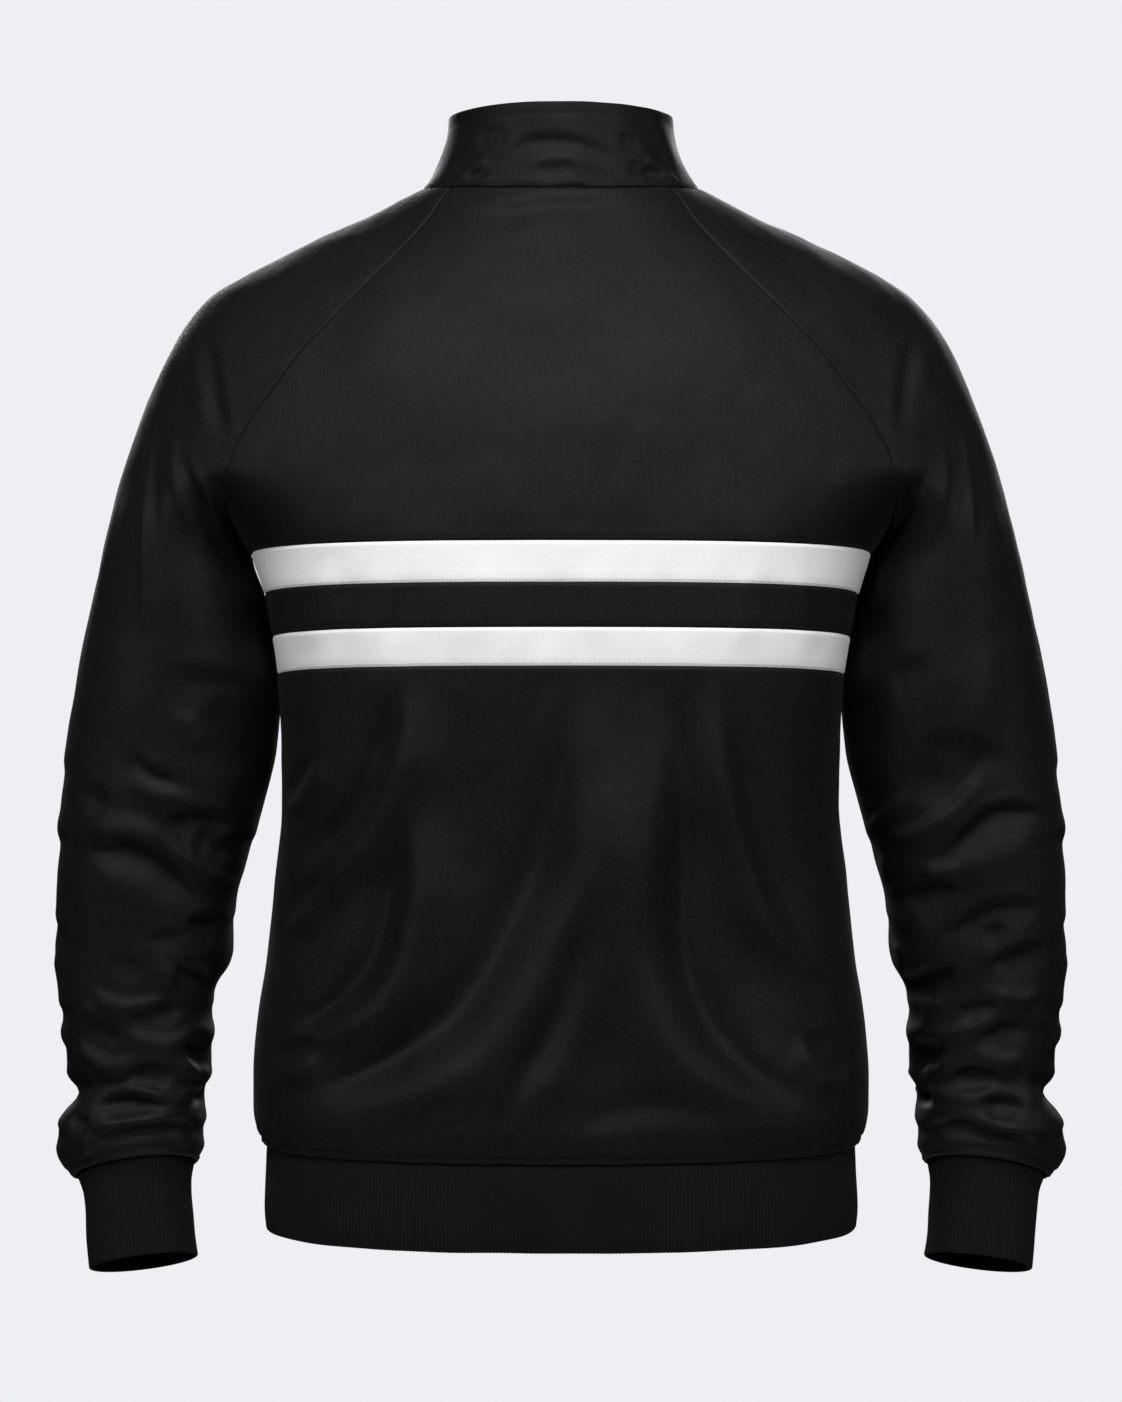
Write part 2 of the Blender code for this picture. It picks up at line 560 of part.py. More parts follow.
# ---------------------------------------------------------------- zip
def zip_line():
    """Middle line of the front from the hem's bottom edge to the zip's top end, row by row.

    Returns the line (y, z), how the face turns away from it per square metre across (y, z), and the depth
    at which the tape clears the wall of the rib, front or collar there.
    """
    rib = heights_between(HEM_SEAM_HEIGHT, HEM_BOTTOM_HEIGHT, ARM_PITCH, (0, 0))[::-1]
    front = front_heights()[::-1]
    front = front[front > HEM_SEAM_HEIGHT + SEAM_MARGIN / 2]
    seam = collar_point(np.array(0.0), np.array(pi))
    end = COLLAR_TOP_FRONT - ZIP_END_BELOW_COLLAR
    rise = np.array([0.12, 0.35, 0.65, (end - seam[2]) / (COLLAR_TOP_FRONT - seam[2])])
    lines = []
    for away in (0.0, 0.12):
        lines.append(np.concatenate((
            ring(HEM_SECTIONS, rib, np.full(len(rib), pi - away)),
            front_point(front, np.full(len(front), away)),
            collar_point(rise, np.full(len(rise), pi - away)),
        )))
    middle, beside = lines
    turning = (beside - middle)[:, 1:] / (beside[:, 0] ** 2)[:, None]
    clear = np.full(len(middle), BODY_WALL)
    clear[:len(rib) + 1] = RIB_WALL
    clear[-len(rise) - 1:] = COLLAR_WALL
    return middle[:, 1:], turning, clear + TAPE_CLEAR


def make_zip_half(name, side, material, collection):
    """Make one half of the zip: a tape with the row of teeth raised along its edge."""
    line, turning, clear = zip_line()
    run = np.gradient(line, axis=0)
    run /= np.linalg.norm(run, axis=-1)[:, None]
    inward = np.stack([run[:, 1], -run[:, 0]], axis=-1)
    middle = (ZIP_MIDDLE_GAP + TAPE_REACH) / 2
    across = (ZIP_MIDDLE_GAP, CHAIN_REACH, CHAIN_REACH, middle, TAPE_REACH)
    across += (TAPE_REACH, middle, ZIP_MIDDLE_GAP)
    section = bmesh.new()
    rings = []
    for row, face in enumerate(clear):
        back = face + TAPE_WALL
        sunk = (CHAIN_SUNK, CHAIN_SUNK, face, face, face, back, back, back)
        corners = []
        for out, deep in zip(across, sunk):
            place = line[row] + turning[row] * out ** 2 + deep * inward[row]
            corners.append(section.verts.new((side * out, place[0], place[1])))
        rings.append(corners)
    count = len(across)
    for lower, upper in zip(rings[:-1], rings[1:]):
        for place in range(count):
            after = (place + 1) % count
            section.faces.new((lower[place], lower[after], upper[after], upper[place]))
    section.faces.new(rings[0][::-1])
    section.faces.new(rings[-1])
    bmesh.ops.recalc_face_normals(section, faces=section.faces[:])
    mesh = bpy.data.meshes.new(name)
    section.to_mesh(mesh)
    section.free()
    mesh.materials.append(material)
    piece = bpy.data.objects.new(name, mesh)
    collection.objects.link(piece)
    return piece


def flat_outline(name, outlines, thickness):
    """Make a closed mesh from flat outlines in local X and Y, the first the outer one, others holes."""
    curve = bpy.data.curves.new(name, "CURVE")
    curve.dimensions = "2D"
    curve.fill_mode = "BOTH"
    curve.extrude = thickness / 2
    for outline in outlines:
        spline = curve.splines.new("POLY")
        spline.points.add(len(outline) - 1)
        for point, place in zip(spline.points, outline):
            point.co = (place[0], place[1], 0.0, 1.0)
        spline.use_cyclic_u = True
    flat = bpy.data.objects.new(name, curve)
    bpy.context.scene.collection.objects.link(flat)
    graph = bpy.context.evaluated_depsgraph_get()
    mesh = bpy.data.meshes.new_from_object(flat.evaluated_get(graph))
    bpy.data.objects.remove(flat)
    welded = bmesh.new()
    welded.from_mesh(mesh)
    bmesh.ops.remove_doubles(welded, verts=welded.verts[:], dist=0.00001)
    welded.to_mesh(mesh)
    welded.free()
    return mesh


def slider_seat():
    """Place of the zip's top end on the collar's face (y, z) and how deep the tape lies there."""
    line, _, clear = zip_line()
    return float(line[-1, 0]), float(line[-1, 1]), float(clear[-1])


def make_slider(metal, collection, cutters):
    """Make the slider: a clip over the top end of both tapes, with a bail on its face for the pull."""
    face, top, clear = slider_seat()
    plate_back = 0.0
    plate_front = -SLIDER_PLATE
    rear = clear + TAPE_WALL + SLIDER_CLEAR
    web_low = top + SLIDER_CLEAR
    web_high = web_low + SLIDER_PLATE
    low = web_high - SLIDER_LENGTH
    # Side view in local X (depth, outwards negative) and Y (height).
    clip = (
        (plate_front, low), (plate_back, low), (plate_back, web_low), (rear, web_low),
        (rear, low), (rear + SLIDER_PLATE, low), (rear + SLIDER_PLATE, web_high), (plate_front, web_high),
    )
    body = bpy.data.objects.new("zip_slider", flat_outline("zip_slider", [clip], SLIDER_WIDTH))
    body.data.materials.append(metal)
    bail_low = low + 0.0012
    inside_low = bail_low + BAIL_LEG
    inside_high = inside_low + BAIL_INSIDE
    inside_front = plate_front - PULL_THICKNESS - 2 * PULL_PLAY
    bar_front = inside_front - BAIL_BAR
    root = plate_front + 0.0005
    bail = (
        (root, bail_low), (root, inside_low), (inside_front, inside_low), (inside_front, inside_high),
        (root, inside_high), (root, inside_high + BAIL_LEG), (bar_front, inside_high + BAIL_LEG),
        (bar_front, bail_low),
    )
    arch = bpy.data.objects.new("bail_form", flat_outline("bail_form", [bail], BAIL_WIDTH))
    for item, owner in ((body, collection), (arch, cutters)):
        owner.objects.link(item)
        item.rotation_euler = (radians(90), 0.0, radians(90))
        item.location = (0.0, face, 0.0)
    arch.hide_render = True
    arch.display_type = "WIRE"
    join = body.modifiers.new("bail", "BOOLEAN")
    join.operation = "UNION"
    join.object = arch
    axis_depth = face + plate_front - PULL_PLAY - PULL_THICKNESS / 2
    axis_height = inside_low + PULL_PLAY + PULL_THICKNESS / 2
    return axis_depth, axis_height


def rounded_end(half_width, low, radius, segments):
    """Points of the lower end of a plate with two rounded corners, left to right."""
    turns = np.linspace(0.0, pi / 2, segments)
    left = [(-half_width + radius - radius * np.cos(turn), low + radius - radius * np.sin(turn)) for turn in turns]
    right = [(-x, y) for x, y in left[::-1]]
    return left + right


def make_pull(axis_depth, axis_height, metal, collection):
    """Make the pull: a flat tab whose top bar hangs in the slider's bail. Its origin is the hinge axis."""
    half = PULL_WIDTH / 2
    bar = PULL_THICKNESS / 2
    outer = rounded_end(half, -PULL_LENGTH, 0.0020, PULL_END_ROUNDING)
    outer += [(half, bar), (-half, bar)]
    inner = PULL_WINDOW_WIDTH / 2
    window = [(-inner, -bar), (inner, -bar), (inner, -PULL_WINDOW_LENGTH), (-inner, -PULL_WINDOW_LENGTH)]
    mesh = flat_outline("zip_pull", [outer, window], PULL_THICKNESS)
    mesh.materials.append(metal)
    pull = bpy.data.objects.new("zip_pull", mesh)
    collection.objects.link(pull)
    pull.rotation_euler = (radians(90), 0.0, 0.0)
    pull.location = (0.0, axis_depth, axis_height)
    return pull


# ---------------------------------------------------------------- assembly
def finish(name, colour, roughness, metallic=0.0):
    """Make a Principled material."""
    material = bpy.data.materials.new(name)
    material.use_nodes = True
    shader = material.node_tree.nodes["Principled BSDF"]
    shader.inputs["Base Color"].default_value = colour
    shader.inputs["Roughness"].default_value = roughness
    shader.inputs["Metallic"].default_value = metallic
    return material


def main():
    """Clear the scene and make every piece of the jacket."""
    for item in list(bpy.data.objects):
        bpy.data.objects.remove(item)
    jacket = bpy.data.collections.new("track_jacket")
    cutters = bpy.data.collections.new("cutters")
    bpy.context.scene.collection.children.link(jacket)
    bpy.context.scene.collection.children.link(cutters)
    black = finish("black_tricot", BLACK_CLOTH, 0.62)
    white = finish("white_tricot", WHITE_CLOTH, 0.60)
    rib = finish("black_rib", BLACK_RIB, 0.85)
    tape = finish("black_tape", BLACK_TAPE, 0.75)
    metal = finish("dark_metal", DARK_METAL, 0.35, 1.0)
    make_back(black, white, jacket)
    make_fronts(black, jacket)
    make_sleeves(black, jacket)
    make_collar(black, jacket)
    make_hem(rib, jacket)
    make_cuffs(rib, jacket)
    make_zip_half("zip_left", 1, tape, jacket)
    make_zip_half("zip_right", -1, tape, jacket)
    axis_depth, axis_height = make_slider(metal, jacket, cutters)
    make_pull(axis_depth, axis_height, metal, jacket)


main()
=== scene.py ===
"""Track jacket: black tricot with raglan sleeves, a stand collar, two white bands across the back, a zip
from hem to collar, and a ribbed hem and cuffs.

Each cut piece is a wall of cloth worked out on a grid of places. The form of the jacket comes from level
sections, the folds are soft ridges and troughs along lines, and seams, stitches, ribs and teeth follow
their own pitches. Metres, +Z up, the back faces +Y, +X is the wearer's left, and the origin is the middle
of the neck opening. Fold lines are given in millimetres.
"""

import logging
from collections.abc import Callable
from dataclasses import dataclass, field
from enum import Enum
from functools import partial
from math import pi, radians

import bpy
import numpy as np
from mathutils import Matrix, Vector


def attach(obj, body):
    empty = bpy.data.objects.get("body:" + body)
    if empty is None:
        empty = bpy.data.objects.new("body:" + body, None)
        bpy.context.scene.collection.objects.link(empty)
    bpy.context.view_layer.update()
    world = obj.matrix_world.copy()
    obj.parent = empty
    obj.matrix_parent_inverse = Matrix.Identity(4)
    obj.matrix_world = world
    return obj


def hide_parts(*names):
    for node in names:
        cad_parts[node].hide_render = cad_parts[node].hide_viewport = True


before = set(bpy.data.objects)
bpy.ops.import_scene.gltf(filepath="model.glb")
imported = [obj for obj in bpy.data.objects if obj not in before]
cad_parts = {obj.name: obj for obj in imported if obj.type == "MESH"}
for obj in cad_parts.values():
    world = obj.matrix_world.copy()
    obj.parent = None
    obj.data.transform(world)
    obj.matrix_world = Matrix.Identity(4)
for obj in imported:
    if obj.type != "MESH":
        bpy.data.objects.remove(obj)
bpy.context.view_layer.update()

LOG = logging.getLogger("track_jacket")
Array = np.ndarray
Row = tuple[float, float, float, tuple[tuple[float, float], ...]]

# ---------------------------------------------------------------- sizes, metres
SEAM_GAP = 0.0003
BODY_WALL = 0.0012
COLLAR_WALL = 0.0024
RIB_WALL = 0.0020
RAGLAN_TRIM = 0.0009
SIDE_TRIM = 0.0012
NECK_HEIGHT = 0.009
CLEFT_HEIGHT = -0.180
UNDERARM_HEIGHT = -0.2409
HEM_SEAM_HEIGHT = -0.636
HEM_BOTTOM_HEIGHT = -0.693
CUFF_SEAM_HEIGHT = -0.660
CUFF_BOTTOM_HEIGHT = -0.7225
SHOULDER_ROUNDING = 1.5
PARTING_FADE = 4
BAND_DROOP = 0.0053
BAND_EDGES = (-0.2356, -0.2623, -0.2909, -0.3157)
COLLAR_TOP_BACK = 0.057
COLLAR_TOP_FRONT = 0.030
COLLAR_TOP_HALF_WIDTH = 0.0765
COLLAR_TOP_BACK_DEPTH = 0.0715
COLLAR_TOP_FRONT_DEPTH = 0.0810
COLLAR_FLARE = 2.0
ZIP_OPENING = 0.0045
ZIP_MIDDLE_GAP = 0.00015
TAPE_REACH = 0.0130
TAPE_WALL = 0.0008
TAPE_CLEAR = 0.0005
ZIP_END_BELOW_COLLAR = 0.0045

# Steps of the cut pieces' grids.
PANEL_PITCH = 0.0030
SLEEVE_PITCH = 0.0028
SLEEVE_PLACES = 133
RIB_PITCH = 0.0024
PLACES_PER_RIB = 4
RIB_RISE = 0.00035
EDGE_STEPS = (0.0, 0.0003, 0.0008, 0.0014, 0.0022, 0.0034)
OPEN_TUBE = 10 ** 6
# Places whose distances to the seams are worked out at once.
CHUNK = 8192
# A sleeve's raglan seams run out above its closed tube: rows, and the distance that they gain.
SEAM_END_ROWS = 8
SEAM_END_FADE = 0.003

# Distances of the rows of stitches from their edges, and the reach over which a row's direction is taken.
BAND_STITCH = 0.0019
ZIP_STITCH = 0.0052
COLLAR_TOP_STITCH = 0.0076
COLLAR_FOOT_STITCH = 0.0016
HALF_STITCH = 0.0006

# Gathers above a seam: height, pitch, reach.
BAND_GATHER = (0.00010, 0.0065, 0.006)
HEM_GATHER = (0.00045, 0.0095, 0.013)
CUFF_GATHER = (0.00035, 0.0085, 0.008)
COLLAR_GATHER = (0.00012, 0.0070, 0.006)
# How far their waves wander and over how many pitches, and the second wave's share and pitch.
GATHER_WANDER = 1.6
WANDER_PITCHES = 7.3
GATHER_SECOND = 0.6
SECOND_PITCHES = 1.7
# A rolled edge: its depth as a share of the wall, and the least square of what is left of the wall.
ROLL_SHARE = 0.7
ROLL_LEAST = 0.02

# Folds: how far a crest lies right of its line, in widths, and the share of the line that its ends fade over.
CREST_SHIFT = 0.3
FADE_SHARE = 0.34
# The width left at a line's ends, and how much a steep fold narrows on its left and widens on its right.
END_WIDTH = 0.55
LEFT_LEAN = 0.6
RIGHT_LEAN = 2.0
# How rows are carried round to the front or the other arm, in millimetres; the levels are heights.
FRONT_NARROWING = 0.97
FRONT_DROP = 7.0
FAR_ARM_DROP = 4.0
SHOULDER_LEVEL = -120
ELBOW_LEVEL = -420
# Factors on the folds' heights, widths and steepness.
BACK_RIBBON_SHARE = 1.7
FRONT_RIBBON_SHARE = 1.25
ARM_FACTORS = (1.1, 1.25, 1.6)
OUTSIDE_FACTORS = (0.42, 1.2)
INSIDE_FACTORS = (0.3, 1.2)
COLLAR_FACTORS = (0.95, 1.35)

# ---------------------------------------------------------------- finishes, linear colour
BLACK_CLOTH = (0.0022, 0.0022, 0.0026)
BLACK_CLOTH_WORN = (0.0076, 0.0076, 0.0086)
WHITE_CLOTH = (0.93, 0.93, 0.945)
WHITE_CLOTH_WORN = (0.965, 0.965, 0.98)
BLACK_RIB = (0.0042, 0.0042, 0.0047)
BLACK_RIB_WORN = (0.0084, 0.0084, 0.0092)
BLACK_TAPE = (0.0070, 0.0070, 0.0080)
DARK_METAL = (0.040, 0.040, 0.043)


class View(Enum):
    """Side from which a fold line is drawn: the axis that runs to the right, its sign, and what it faces."""

    BEHIND = "behind"
    FRONT = "front"
    OUTSIDE = "outside"
    INSIDE = "inside"


class Edge(Enum):
    """Edges of a cut piece's grid: rows run from the top down, columns clockwise seen from above."""

    TOP = "top"
    BOTTOM = "bottom"
    FIRST = "first"
    LAST = "last"


class Side(Enum):
    """Sides of the jacket, as the wearer has them. Paired pieces are worked out for the left."""

    LEFT = 1
    RIGHT = -1

    def named(self, piece: str) -> str:
        """Name of a piece on this side."""
        return f"{piece}_{self.name.lower()}"

    def take(self, points: Array) -> Array:
        """Grid on this side: the right is the mirror image, its columns still clockwise from above."""
        return points if self is Side.LEFT else points[:, ::-1] * (-1, 1, 1)


class Relief(Enum):
    """Sections of a fold: a single ridge or trough, or a slope that faces up between a trough and a ridge."""

    CREASE = "crease"
    RIBBON = "ribbon"


class Slot(Enum):
    """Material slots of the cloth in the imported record."""

    BLACK_TRICOT = "black_tricot"
    WHITE_TRICOT = "white_tricot"
    BLACK_RIB = "black_rib"
    BLACK_TAPE = "black_tape"


# ---------------------------------------------------------------- folds
@dataclass(frozen=True)
class Fold:
    """A soft ridge, or a trough where its height is negative, along a line drawn from one side.

    height, width: in millimetres, the width being the distance at which the fold has mostly died away.
    steep: share by which the flank on the line's left is narrower and the other wider.
    line: points (across, up) in millimetres; across is X, or Y for the views from the outside and inside.
    relief: its section. A ribbon is sunk on the line's left and stands out on its right.
    """

    view: View
    height: float
    width: float
    steep: float
    line: tuple[tuple[float, float], ...]
    relief: Relief = Relief.CREASE


def folds(view: View, rows: tuple[Row, ...], share: float = 1.0, spread: float = 1.0, lean: float = 1.0,
          relief: Relief = Relief.CREASE) -> tuple[Fold, ...]:
    """Make the folds of one view from rows of (height, width, steep, line).

    Args:
        view: the side they are seen from.
        rows: the rows.
        share: factor on their heights.
        spread: factor on their widths.
        lean: factor on how steep they are.
        relief: their section.

    Returns:
        The folds.
    """
    return tuple(
        Fold(view, share * height, spread * width, lean * steep, line, relief)
        for height, width, steep, line in rows
    )


def turned(rows: tuple[Row, ...]) -> tuple[Row, ...]:
    """Carry rows drawn behind round to the front: the same places from the other end, a little lower.

    Args:
        rows: as drawn from behind.

    Returns:
        Rows for the front.
    """
    return tuple(
        (height, width, steep, tuple((FRONT_NARROWING * x, z - FRONT_DROP) for x, z in reversed(line)))
        for height, width, steep, line in rows
    )


def mirrored(rows: tuple[Row, ...]) -> tuple[Row, ...]:
    """Mirror rows drawn for the other arm, and let those below the shoulder lie a little lower.

    Args:
        rows: as drawn for the other arm.

    Returns:
        Rows for this arm.
    """
    return tuple(
        (height, width, steep, tuple((-x, z - FAR_ARM_DROP * (z < SHOULDER_LEVEL)) for x, z in line))
        for height, width, steep, line in rows
    )


# Columns: height, width, steep, line.
BACK_RIBBON_ROWS = (
    (5.2, 21, .35, ((178, -607), (137, -588), (99, -570), (66, -549), (41, -516), (24, -482), (8, -449),
                    (-1, -411), (-8, -369), (-13, -318))),
    (3.6, 13, .3, ((182, -452), (150, -436), (131, -415), (116, -382), (104, -348), (97, -322))),
    (4.0, 15, .3, ((184, -564), (150, -542), (129, -526), (114, -503), (106, -470), (101, -440), (97, -395))),
    (2.6, 13, .2, ((41, -628), (22, -587), (7, -562), (-7, -533), (-18, -495), (-24, -450))),
    (4.4, 19, .35, ((-62, -322), (-71, -369), (-73, -420), (-71, -461), (-71, -495), (-77, -524), (-91, -553),
                    (-110, -574), (-131, -591), (-166, -610))),
    (3.2, 13, .3, ((-98, -320), (-110, -369), (-120, -411), (-135, -457), (-152, -491), (-182, -522))),
    (0.9, 12, .2, ((0, -620), (-47, -604), (-80, -603), (-128, -615))),
    (1.6, 8, .2, ((186, -494), (171, -474), (154, -457), (134, -436))),
    (1.4, 7, .2, ((186, -408), (172, -396), (156, -370))),
    (1.8, 8, .2, ((188, -584), (174, -571), (154, -564))),
    (1.6, 8, .2, ((-154, -552), (-172, -574), (-186, -596))),
)

BACK_ROWS = (
    (-2.6, 10, .3, ((164, -594), (140, -580), (112, -566), (88, -548))),
    (-1.8, 8, .3, ((176, -548), (160, -540), (140, -524))),
    (-1.5, 8, .2, ((182, -436), (166, -426), (148, -412))),
    (-1.5, 9, .3, ((-112, -562), (-138, -579), (-166, -595))),
    (1.2, 30, 0, ((-20, -330), (-22, -380), (-16, -440))),
    (-0.8, 12, 0, ((112, -325), (118, -360), (124, -385))),
    (-0.9, 14, 0, ((60, -330), (62, -380), (56, -430))),
    (-0.9, 14, 0, ((-44, -340), (-46, -400), (-44, -450))),
    (1.6, 8, .2, ((74, -619), (53, -609), (38, -618))),
    (-1.8, 6, .2, ((90, -612), (72, -606), (57, -603))),
    (-1.2, 4, 0, ((30, -622), (24, -616), (17, -620))),
    (1.0, 16, .2, ((-141, -110), (-149, -130), (-169, -158), (-186, -179))),
    (-0.8, 14, 0, ((-160, -160), (-175, -180), (-188, -196))),
    (0.9, 12, .2, ((-133, -155), (-141, -187), (-153, -223), (-160, -240))),
    (-0.7, 14, .2, ((-122, -180), (-130, -205), (-140, -232))),
    (0.7, 12, .2, ((-105, -179), (-109, -211), (-117, -238))),
    (0.9, 18, .2, ((-29, -227), (-49, -183), (-69, -142))),
    (1.0, 12, .2, ((152, -239), (146, -223), (132, -191), (114, -159))),
    (0.8, 11, .2, ((136, -233), (120, -207), (108, -191), (98, -171))),
    (-0.7, 9, 0, ((143, -228), (126, -199), (108, -172))),
    (-0.7, 13, .2, ((172, -225), (164, -200), (160, -170))),
    (0.9, 18, .2, ((51, -171), (31, -203), (11, -229))),
    (-2.4, 26, .1, ((58, -92), (25, -99), (0, -101), (-25, -97), (-50, -89))),
    (-2.0, 7, .3, ((62, -13), (30, -14), (8, -10), (-17, -10), (-52, -7))),
    (0.8, 4, 0, ((52, -4.5), (33, -7), (19, -5.5))),
    (2.0, 38, 0, ((160, -80), (100, -100), (30, -120))),
    (2.0, 38, 0, ((-25, -120), (-95, -100), (-155, -80))),
    (1.2, 12, .2, ((176, -306), (162, -274), (152, -243))),
    (-1.0, 12, .2, ((160, -312), (146, -282), (140, -250))),
    (1.0, 12, .2, ((-152, -246), (-162, -280), (-172, -310))),
    (-0.9, 12, .2, ((-138, -250), (-146, -282), (-158, -308))),
    (1.0, 8, .2, ((142, -312), (128, -276), (116, -242))),
    (-0.9, 7, .2, ((116, -310), (104, -276), (94, -246))),
    (0.9, 10, .2, ((76, -312), (60, -278), (50, -244))),
    (-1.0, 10, .2, ((20, -314), (12, -278), (10, -246))),
    (0.9, 9, .2, ((-22, -312), (-16, -278), (-8, -246))),
    (-0.9, 9, .2, ((-74, -312), (-62, -276), (-56, -246))),
    (1.0, 10, .2, ((-104, -312), (-114, -278), (-122, -244))),
)

FRONT_ROWS = (
    (1.6, 15, 0, ((96, -205), (124, -180), (158, -150))),
    (-1.4, 15, 0, ((104, -236), (136, -208), (176, -184))),
    (1.4, 18, 0, ((60, -110), (84, -160), (92, -220))),
    (1.6, 15, 0, ((-162, -160), (-128, -190), (-92, -222))),
    (-1.3, 15, 0, ((-178, -196), (-140, -220), (-104, -246))),
    (1.4, 17, 0, ((-92, -220), (-80, -160), (-52, -110))),
)

LEFT_ARM_ROWS = (
    (-2.2, 6, 0, ((240, -90), (235, -98), (230, -112), (225, -138), (219, -159), (215, -174))),
    (1.2, 6, 0, ((245, -92), (239, -112), (234, -140), (227, -165))),
    (1.6, 3.2, 0, ((267, -140), (271, -160), (273, -200), (273, -240), (273, -276), (270, -323))),
    (-1.2, 5, 0, ((263, -150), (266, -200), (266, -280))),
    (1.6, 3.8, 0, ((256, -156), (254, -178), (248, -207), (234, -240))),
    (-4.0, 6, 0, ((251, -172), (243, -187), (234, -209), (223, -236), (212, -280), (206, -310))),
    (2.2, 5, 0, ((243, -176), (231, -205), (221, -232), (213, -262))),
    (-4.5, 6, 0, ((228, -192), (219, -204), (208, -226), (202, -246))),
    (-2.8, 12, .2, ((258, -310), (245, -321), (222, -324), (206, -322))),
    (2.4, 6, 0, ((252, -340), (243, -358), (236, -374))),
    (-4.0, 12, 0, ((224, -330), (216, -360), (210, -395))),
    (2.6, 5, .2, ((283, -376), (273, -392), (258, -398), (245, -402), (237, -405))),
    (-3.0, 6, 0, ((284, -368), (279, -381), (268, -388), (252, -391))),
    (-6.0, 7, .35, ((268, -418), (255, -415), (232, -415), (216, -422))),
    (2.6, 4.5, .2, ((268, -424), (255, -436), (240, -448), (227, -457), (216, -464))),
    (-3.5, 9, 0, ((246, -428), (230, -434), (218, -444))),
    (-6.5, 7, .4, ((321, -443), (309, -435), (291, -432), (276, -437), (260, -449), (245, -463),
                   (233, -471))),
    (3.5, 8, .1, ((326, -432), (310, -421), (291, -419), (272, -425), (256, -436))),
    (1.8, 14, 0, ((318, -452), (290, -452), (258, -472))),
    (-4.5, 6, .35, ((254, -488), (240, -484), (226, -486))),
    (-3.0, 6, .3, ((278, -499), (266, -494), (250, -493))),
    (-4.0, 9, .2, ((258, -514), (248, -520), (236, -521))),
    (3.0, 6, .2, ((273, -507), (260, -522), (245, -531), (232, -537))),
    (3.0, 6, .2, ((318, -528), (304, -538), (291, -541), (278, -539), (264, -533))),
    (-2.2, 7, .2, ((306, -518), (291, -513), (276, -519))),
    (-4.5, 5.5, .35, ((297, -552), (283, -547), (263, -543), (252, -547))),
    (2.8, 4, .2, ((295, -556), (283, -563), (268, -567), (255, -562), (246, -557))),
    (3.0, 5, .2, ((328, -562), (317, -576), (304, -582), (290, -578), (284, -573))),
    (-2.5, 8, .2, ((322, -556), (308, -560), (294, -566))),
    (-5.0, 8, .2, ((258, -573), (247, -570), (237, -571))),
    (2.6, 4.5, .1, ((258, -578), (248, -587), (238, -595))),
    (-4.5, 5, .4, ((299, -591), (289, -586), (276, -584), (263, -587), (256, -592))),
    (2.4, 4.5, .2, ((297, -597), (286, -598), (274, -602), (262, -606))),
    (-7.5, 6, .4, ((320, -613), (309, -607), (291, -604), (276, -607), (262, -612))),
    (3.0, 5, .2, ((317, -621), (296, -620), (276, -616), (262, -611))),
    (-8.0, 6, .4, ((322, -634), (315, -631), (304, -628), (289, -626), (276, -625), (258, -623),
                   (242, -627))),
    (1.2, 2.6, 0, ((312, -633), (296, -631), (284, -628), (274, -629))),
    (-4.0, 5, .2, ((334, -619), (326, -620), (319, -620))),
    (2.5, 3.6, 0, ((318, -629), (320, -640), (324, -648))),
    (2.5, 5, .1, ((316, -640), (291, -636), (266, -634), (242, -637))),
    (2.0, 3.6, 0, ((321, -586), (318, -594), (320, -602))),
    (1.8, 4, 0, ((320, -538), (314, -553))),
    (-2.0, 7, 0, ((316, -392), (301, -412))),
    (2.0, 3.2, .2, ((264, -603), (240, -602))),
    (-4.0, 5, 0, ((246, -604), (240, -610))),
)

